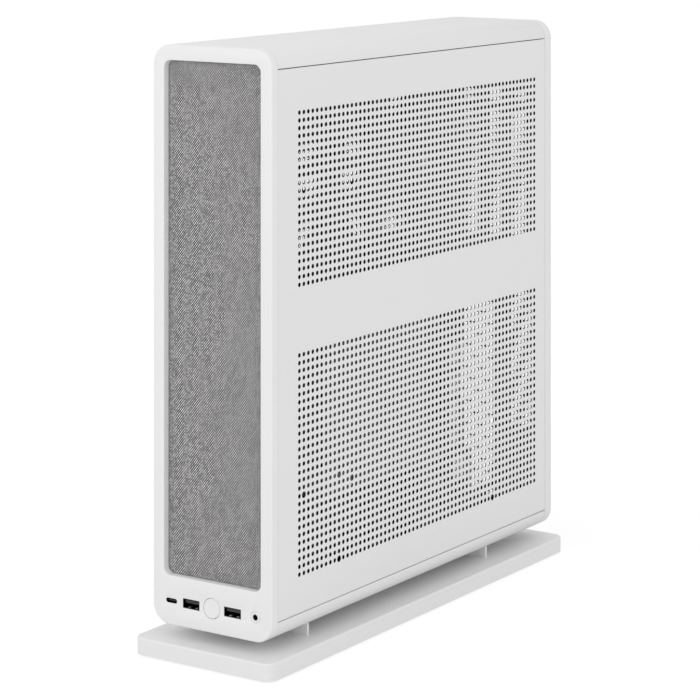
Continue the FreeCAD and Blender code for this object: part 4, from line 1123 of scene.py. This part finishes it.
# ---- front connectors ---------------------------------------------------------------------
@dataclass
class FrontControls:
    """Power button, headphone socket and the contacts that show inside the sockets."""

    finishes: Finishes
    cover: FrontCover
    button_edge: float = 0.35 * MM
    button_dish: float = 0.12 * MM
    cap_depth: float = 3.5 * MM
    stem_radius: float = 2.5 * MM
    jack_radius: float = 3.4 * MM
    bore_radius: float = 1.95 * MM
    lining_radius: float = 1.8 * MM
    lining_inset: float = 0.5 * MM
    nose_depth: float = 7.4 * MM
    ring_edge: float = 0.25 * MM
    body_edge: float = 0.3 * MM
    ring_flat: float = 0.9 * MM
    dish_slope: float = 1.2 * MM
    spring_offsets: Tuple[float, float] = (-2.6 * MM, 3.4 * MM)
    spring_inset: float = 1.2 * MM
    shell_floor: float = 0.4 * MM
    spring_size: Tuple[float, float, float] = (1.9 * MM, 4.0 * MM, 0.25 * MM)

    def _button(self) -> None:
        """Dished round button on its stem."""
        box = Box.of("power_button")
        start = Vector((box.centre.x, box.low.y, box.centre.z))
        button = drum("round_button", start, self.cap_depth, box.size.x / 2.0, 96)
        choose(button, Element.FACE, lambda middle, normal: normal.y < -ALONG)
        bpy.ops.mesh.inset(thickness=self.ring_flat, depth=0.0)
        bpy.ops.mesh.inset(thickness=self.dish_slope, depth=-self.button_dish)
        leave_edit()
        round_edges(button, self.button_edge, 4, lambda middle, way: (
            middle.y < box.low.y + TOUCH and (middle - start).length > 0.95 * box.size.x / 2.0))
        stem_start = start + Vector((0.0, self.cap_depth - TOUCH, 0.0))
        stem = drum("stem", stem_start, box.high.y - stem_start.y, self.stem_radius, 32)
        join([button, stem])
        self.finishes.complete(button, "power_button", Slot.WHITE_TRIM, ["power_button"])

    def _jack(self) -> None:
        """White ring of the headphone socket, its black lining, its body and its contact."""
        box = Box.of("front_jack")
        z = Box.of("power_button").centre.z
        start = Vector((self.cover.jack_x, box.low.y, z))
        ring = drum("jack_ring", start, self.nose_depth, self.jack_radius, 64)
        before = Vector((0.0, PAST, 0.0))
        carve(ring, drum("bore", start - before, self.nose_depth + 2.0 * PAST, self.bore_radius, 48))
        round_edges(ring, self.ring_edge, 3, lambda middle, way: middle.y < box.low.y + TOUCH)
        self.finishes.complete(ring, "case", Slot.WHITE_TRIM, ["front_jack"])
        lining_start = start + Vector((0.0, self.lining_inset, 0.0))
        depth = box.high.y - lining_start.y
        lining = drum("jack_lining", lining_start, depth, self.bore_radius, 48)
        carve(lining, drum("bore", lining_start - before, depth - PAST, self.lining_radius, 48))
        self.finishes.complete(lining, "case", Slot.BLACK_PLASTIC)
        shell = block("jack_body", box.within_y(start.y + self.nose_depth, box.high.y))
        carve(shell, drum("bore", start, 2.0 * box.size.y, self.bore_radius, 48))
        round_edges(shell, self.body_edge, 2, lambda middle, way: abs(way.y) > ALONG)
        self.finishes.complete(shell, "case", Slot.BLACK_PLASTIC)
        at = start + Vector((-0.5 * self.lining_radius, 2.2 * MM, 0.62 * self.lining_radius))
        spring = drum("jack_contact", at, 3.0 * MM, 0.35 * MM, 16)
        round_edges(spring, 0.15 * MM, 2, lambda middle, way: abs(way.y) < 0.5)
        self.finishes.dress(spring, self.finishes.contact)
        hand_over(spring, "case")

    def _usb_springs(self) -> None:
        """Bent tabs on the floor of the two wide sockets."""
        floor = Box.of("front_usb_shells").low.z + self.shell_floor
        mouth = Box.of("front_usb_shells").low.y
        width, depth, sheet = self.spring_size
        for side, centre in (("left", -self.cover.usb_a_x), ("right", self.cover.usb_a_x)):
            tabs: List[Object] = []
            for offset in self.spring_offsets:
                low = Vector((centre + offset - width / 2.0, mouth + self.spring_inset, floor))
                tab = block(f"usb_spring_{side}", Box(low, low + Vector((width, depth, sheet))))
                choose(tab, Element.FACE, lambda middle, normal: normal.z > ALONG)
                bpy.ops.mesh.inset(thickness=0.3 * MM, depth=0.25 * MM)
                leave_edit()
                tabs.append(tab)
            tab = join(tabs)
            self.finishes.complete(tab, "case", Slot.BARE_STEEL)

    def build(self) -> None:
        """Make the controls."""
        self._button()
        self._jack()
        self._usb_springs()


# ---- studio -------------------------------------------------------------------------------
@dataclass
class Lamp:
    """One soft area light aimed at a point."""

    name: str
    place: Vector
    aim: Vector
    size: float
    power: float

    def build(self) -> None:
        """Make the light."""
        data = bpy.data.lights.new(self.name, "AREA")
        data.shape = "SQUARE"
        data.size = self.size
        data.energy = self.power
        lamp = bpy.data.objects.new(self.name, data)
        lamp.location = self.place
        lamp.rotation_mode = "QUATERNION"
        lamp.rotation_quaternion = (self.aim - self.place).to_track_quat("-Z", "Y")
        bpy.context.scene.collection.objects.link(lamp)
        log.info("%s: %.1f W", self.name, self.power)


@dataclass
class Studio:
    """White surroundings, a pale floor, soft lights and the camera."""

    azimuth: float = math.radians(34.0)
    camera_place: Vector = field(default_factory=lambda: Vector((0.9918, -1.4872, 0.5147)))
    sight_fall: float = 0.19093
    lens: float = 134.55
    ambient: float = 0.81
    floor_size: float = 60.0
    floor_glow: float = 0.80
    floor_colour: Colour = (0.26, 0.26, 0.26)
    floor_bounce: Colour = (0.8, 0.8, 0.8)
    lamps: List[Lamp] = field(default_factory=lambda: [
        Lamp("key_light", Vector((-0.5, -2.0, 0.95)), Vector((0.0, -0.17, 0.25)), 1.2, 9.4),
        Lamp("side_light", Vector((2.4, -0.6, 0.8)), Vector((0.0, 0.0, 0.2)), 1.4, 9.0),
    ])

    @staticmethod
    def _seen_directly(graph: Graph) -> Socket:
        """Mask of what the camera, mirrors and glass see.

        Args:
            graph: The tree it is used in.

        Returns:
            A value of 1 on those rays and 0 on the others.
        """
        path = graph.node("NodeLightPath")
        either = graph.math("MAXIMUM", path.outputs["Is Camera Ray"], path.outputs["Is Glossy Ray"])
        return graph.math("MAXIMUM", either, path.outputs["Is Transmission Ray"])

    def _world(self) -> None:
        """Even light all round, seen as white."""
        world = bpy.data.worlds.new("soft_surroundings")
        world.use_nodes = True
        graph = Graph(world.node_tree)
        lit = graph.node("NodeBackground", {"Color": WHITE, "Strength": self.ambient})
        seen = graph.node("NodeBackground", {"Color": WHITE, "Strength": 1.0})
        mix = graph.node("NodeMixShader", {0: self._seen_directly(graph), 1: lit.outputs[0],
                                           2: seen.outputs[0]})
        graph.node("NodeOutputWorld", {"Surface": mix.outputs[0]})
        bpy.context.scene.world = world

    def _floor(self) -> None:
        """Pale floor that keeps a light shadow."""
        floor = new_primitive("studio_floor", lambda: bpy.ops.mesh.primitive_plane_add(
            size=self.floor_size))
        material = bpy.data.materials.new("pale_floor")
        material.use_nodes = True
        graph = Graph(material.node_tree)
        plain = graph.node("NodeBsdfDiffuse", {"Color": self.floor_bounce})
        shaded = graph.node("NodeBsdfDiffuse", {"Color": self.floor_colour})
        glow = graph.node("NodeEmission", {"Strength": self.floor_glow})
        both = graph.node("NodeAddShader", {0: shaded.outputs[0], 1: glow.outputs[0]})
        mix = graph.node("NodeMixShader", {0: self._seen_directly(graph), 1: plain.outputs[0],
                                           2: both.outputs[0]})
        graph.node("NodeOutputMaterial", {"Surface": mix.outputs[0]})
        floor.data.materials.append(material)
        floor.select_set(False)

    def _camera(self) -> None:
        """Camera whose picture plane stays upright while it looks a little down."""
        stand = bpy.data.objects.new("camera_stand", None)
        camera = bpy.data.objects.new("camera", bpy.data.cameras.new("camera"))
        for obj in (stand, camera):
            bpy.context.scene.collection.objects.link(obj)
        right = Vector((math.cos(self.azimuth), math.sin(self.azimuth), 0.0))
        level = Vector((-math.sin(self.azimuth), math.cos(self.azimuth), 0.0))
        up = Vector((0.0, 0.0, 1.0))
        back = (up * self.sight_fall - level).normalized()
        axes = Matrix((right, up, back)).transposed().to_4x4()
        camera.parent = stand
        camera.matrix_parent_inverse = Matrix.Translation(self.camera_place) @ axes
        camera.data.lens = self.lens
        bpy.context.scene.camera = camera

    def build(self) -> None:
        """Make the surroundings."""
        self._camera()
        self._world()
        self._floor()
        for lamp in self.lamps:
            lamp.build()
        bpy.context.scene.view_settings.view_transform = "Standard"


def main() -> None:
    """Build the looks of the tower and the studio round it."""
    logging.basicConfig(level=logging.INFO, format="%(name)s: %(message)s")
    Studio().build()
    finishes = Finishes()
    finishes.dress_cad_nodes(frame["nodes"], frame["record"]["subparts"])
    CaseShells(finishes).build()
    PerforatedPanel(finishes, Side.RIGHT, "right_panel", "right_cover").build()
    PerforatedPanel(finishes, Side.LEFT, "left_panel", "left_cover").build()
    cover = FrontCover(finishes)
    cover.build()
    FrontControls(finishes, cover).build()


if __name__ == "__main__":
    main()
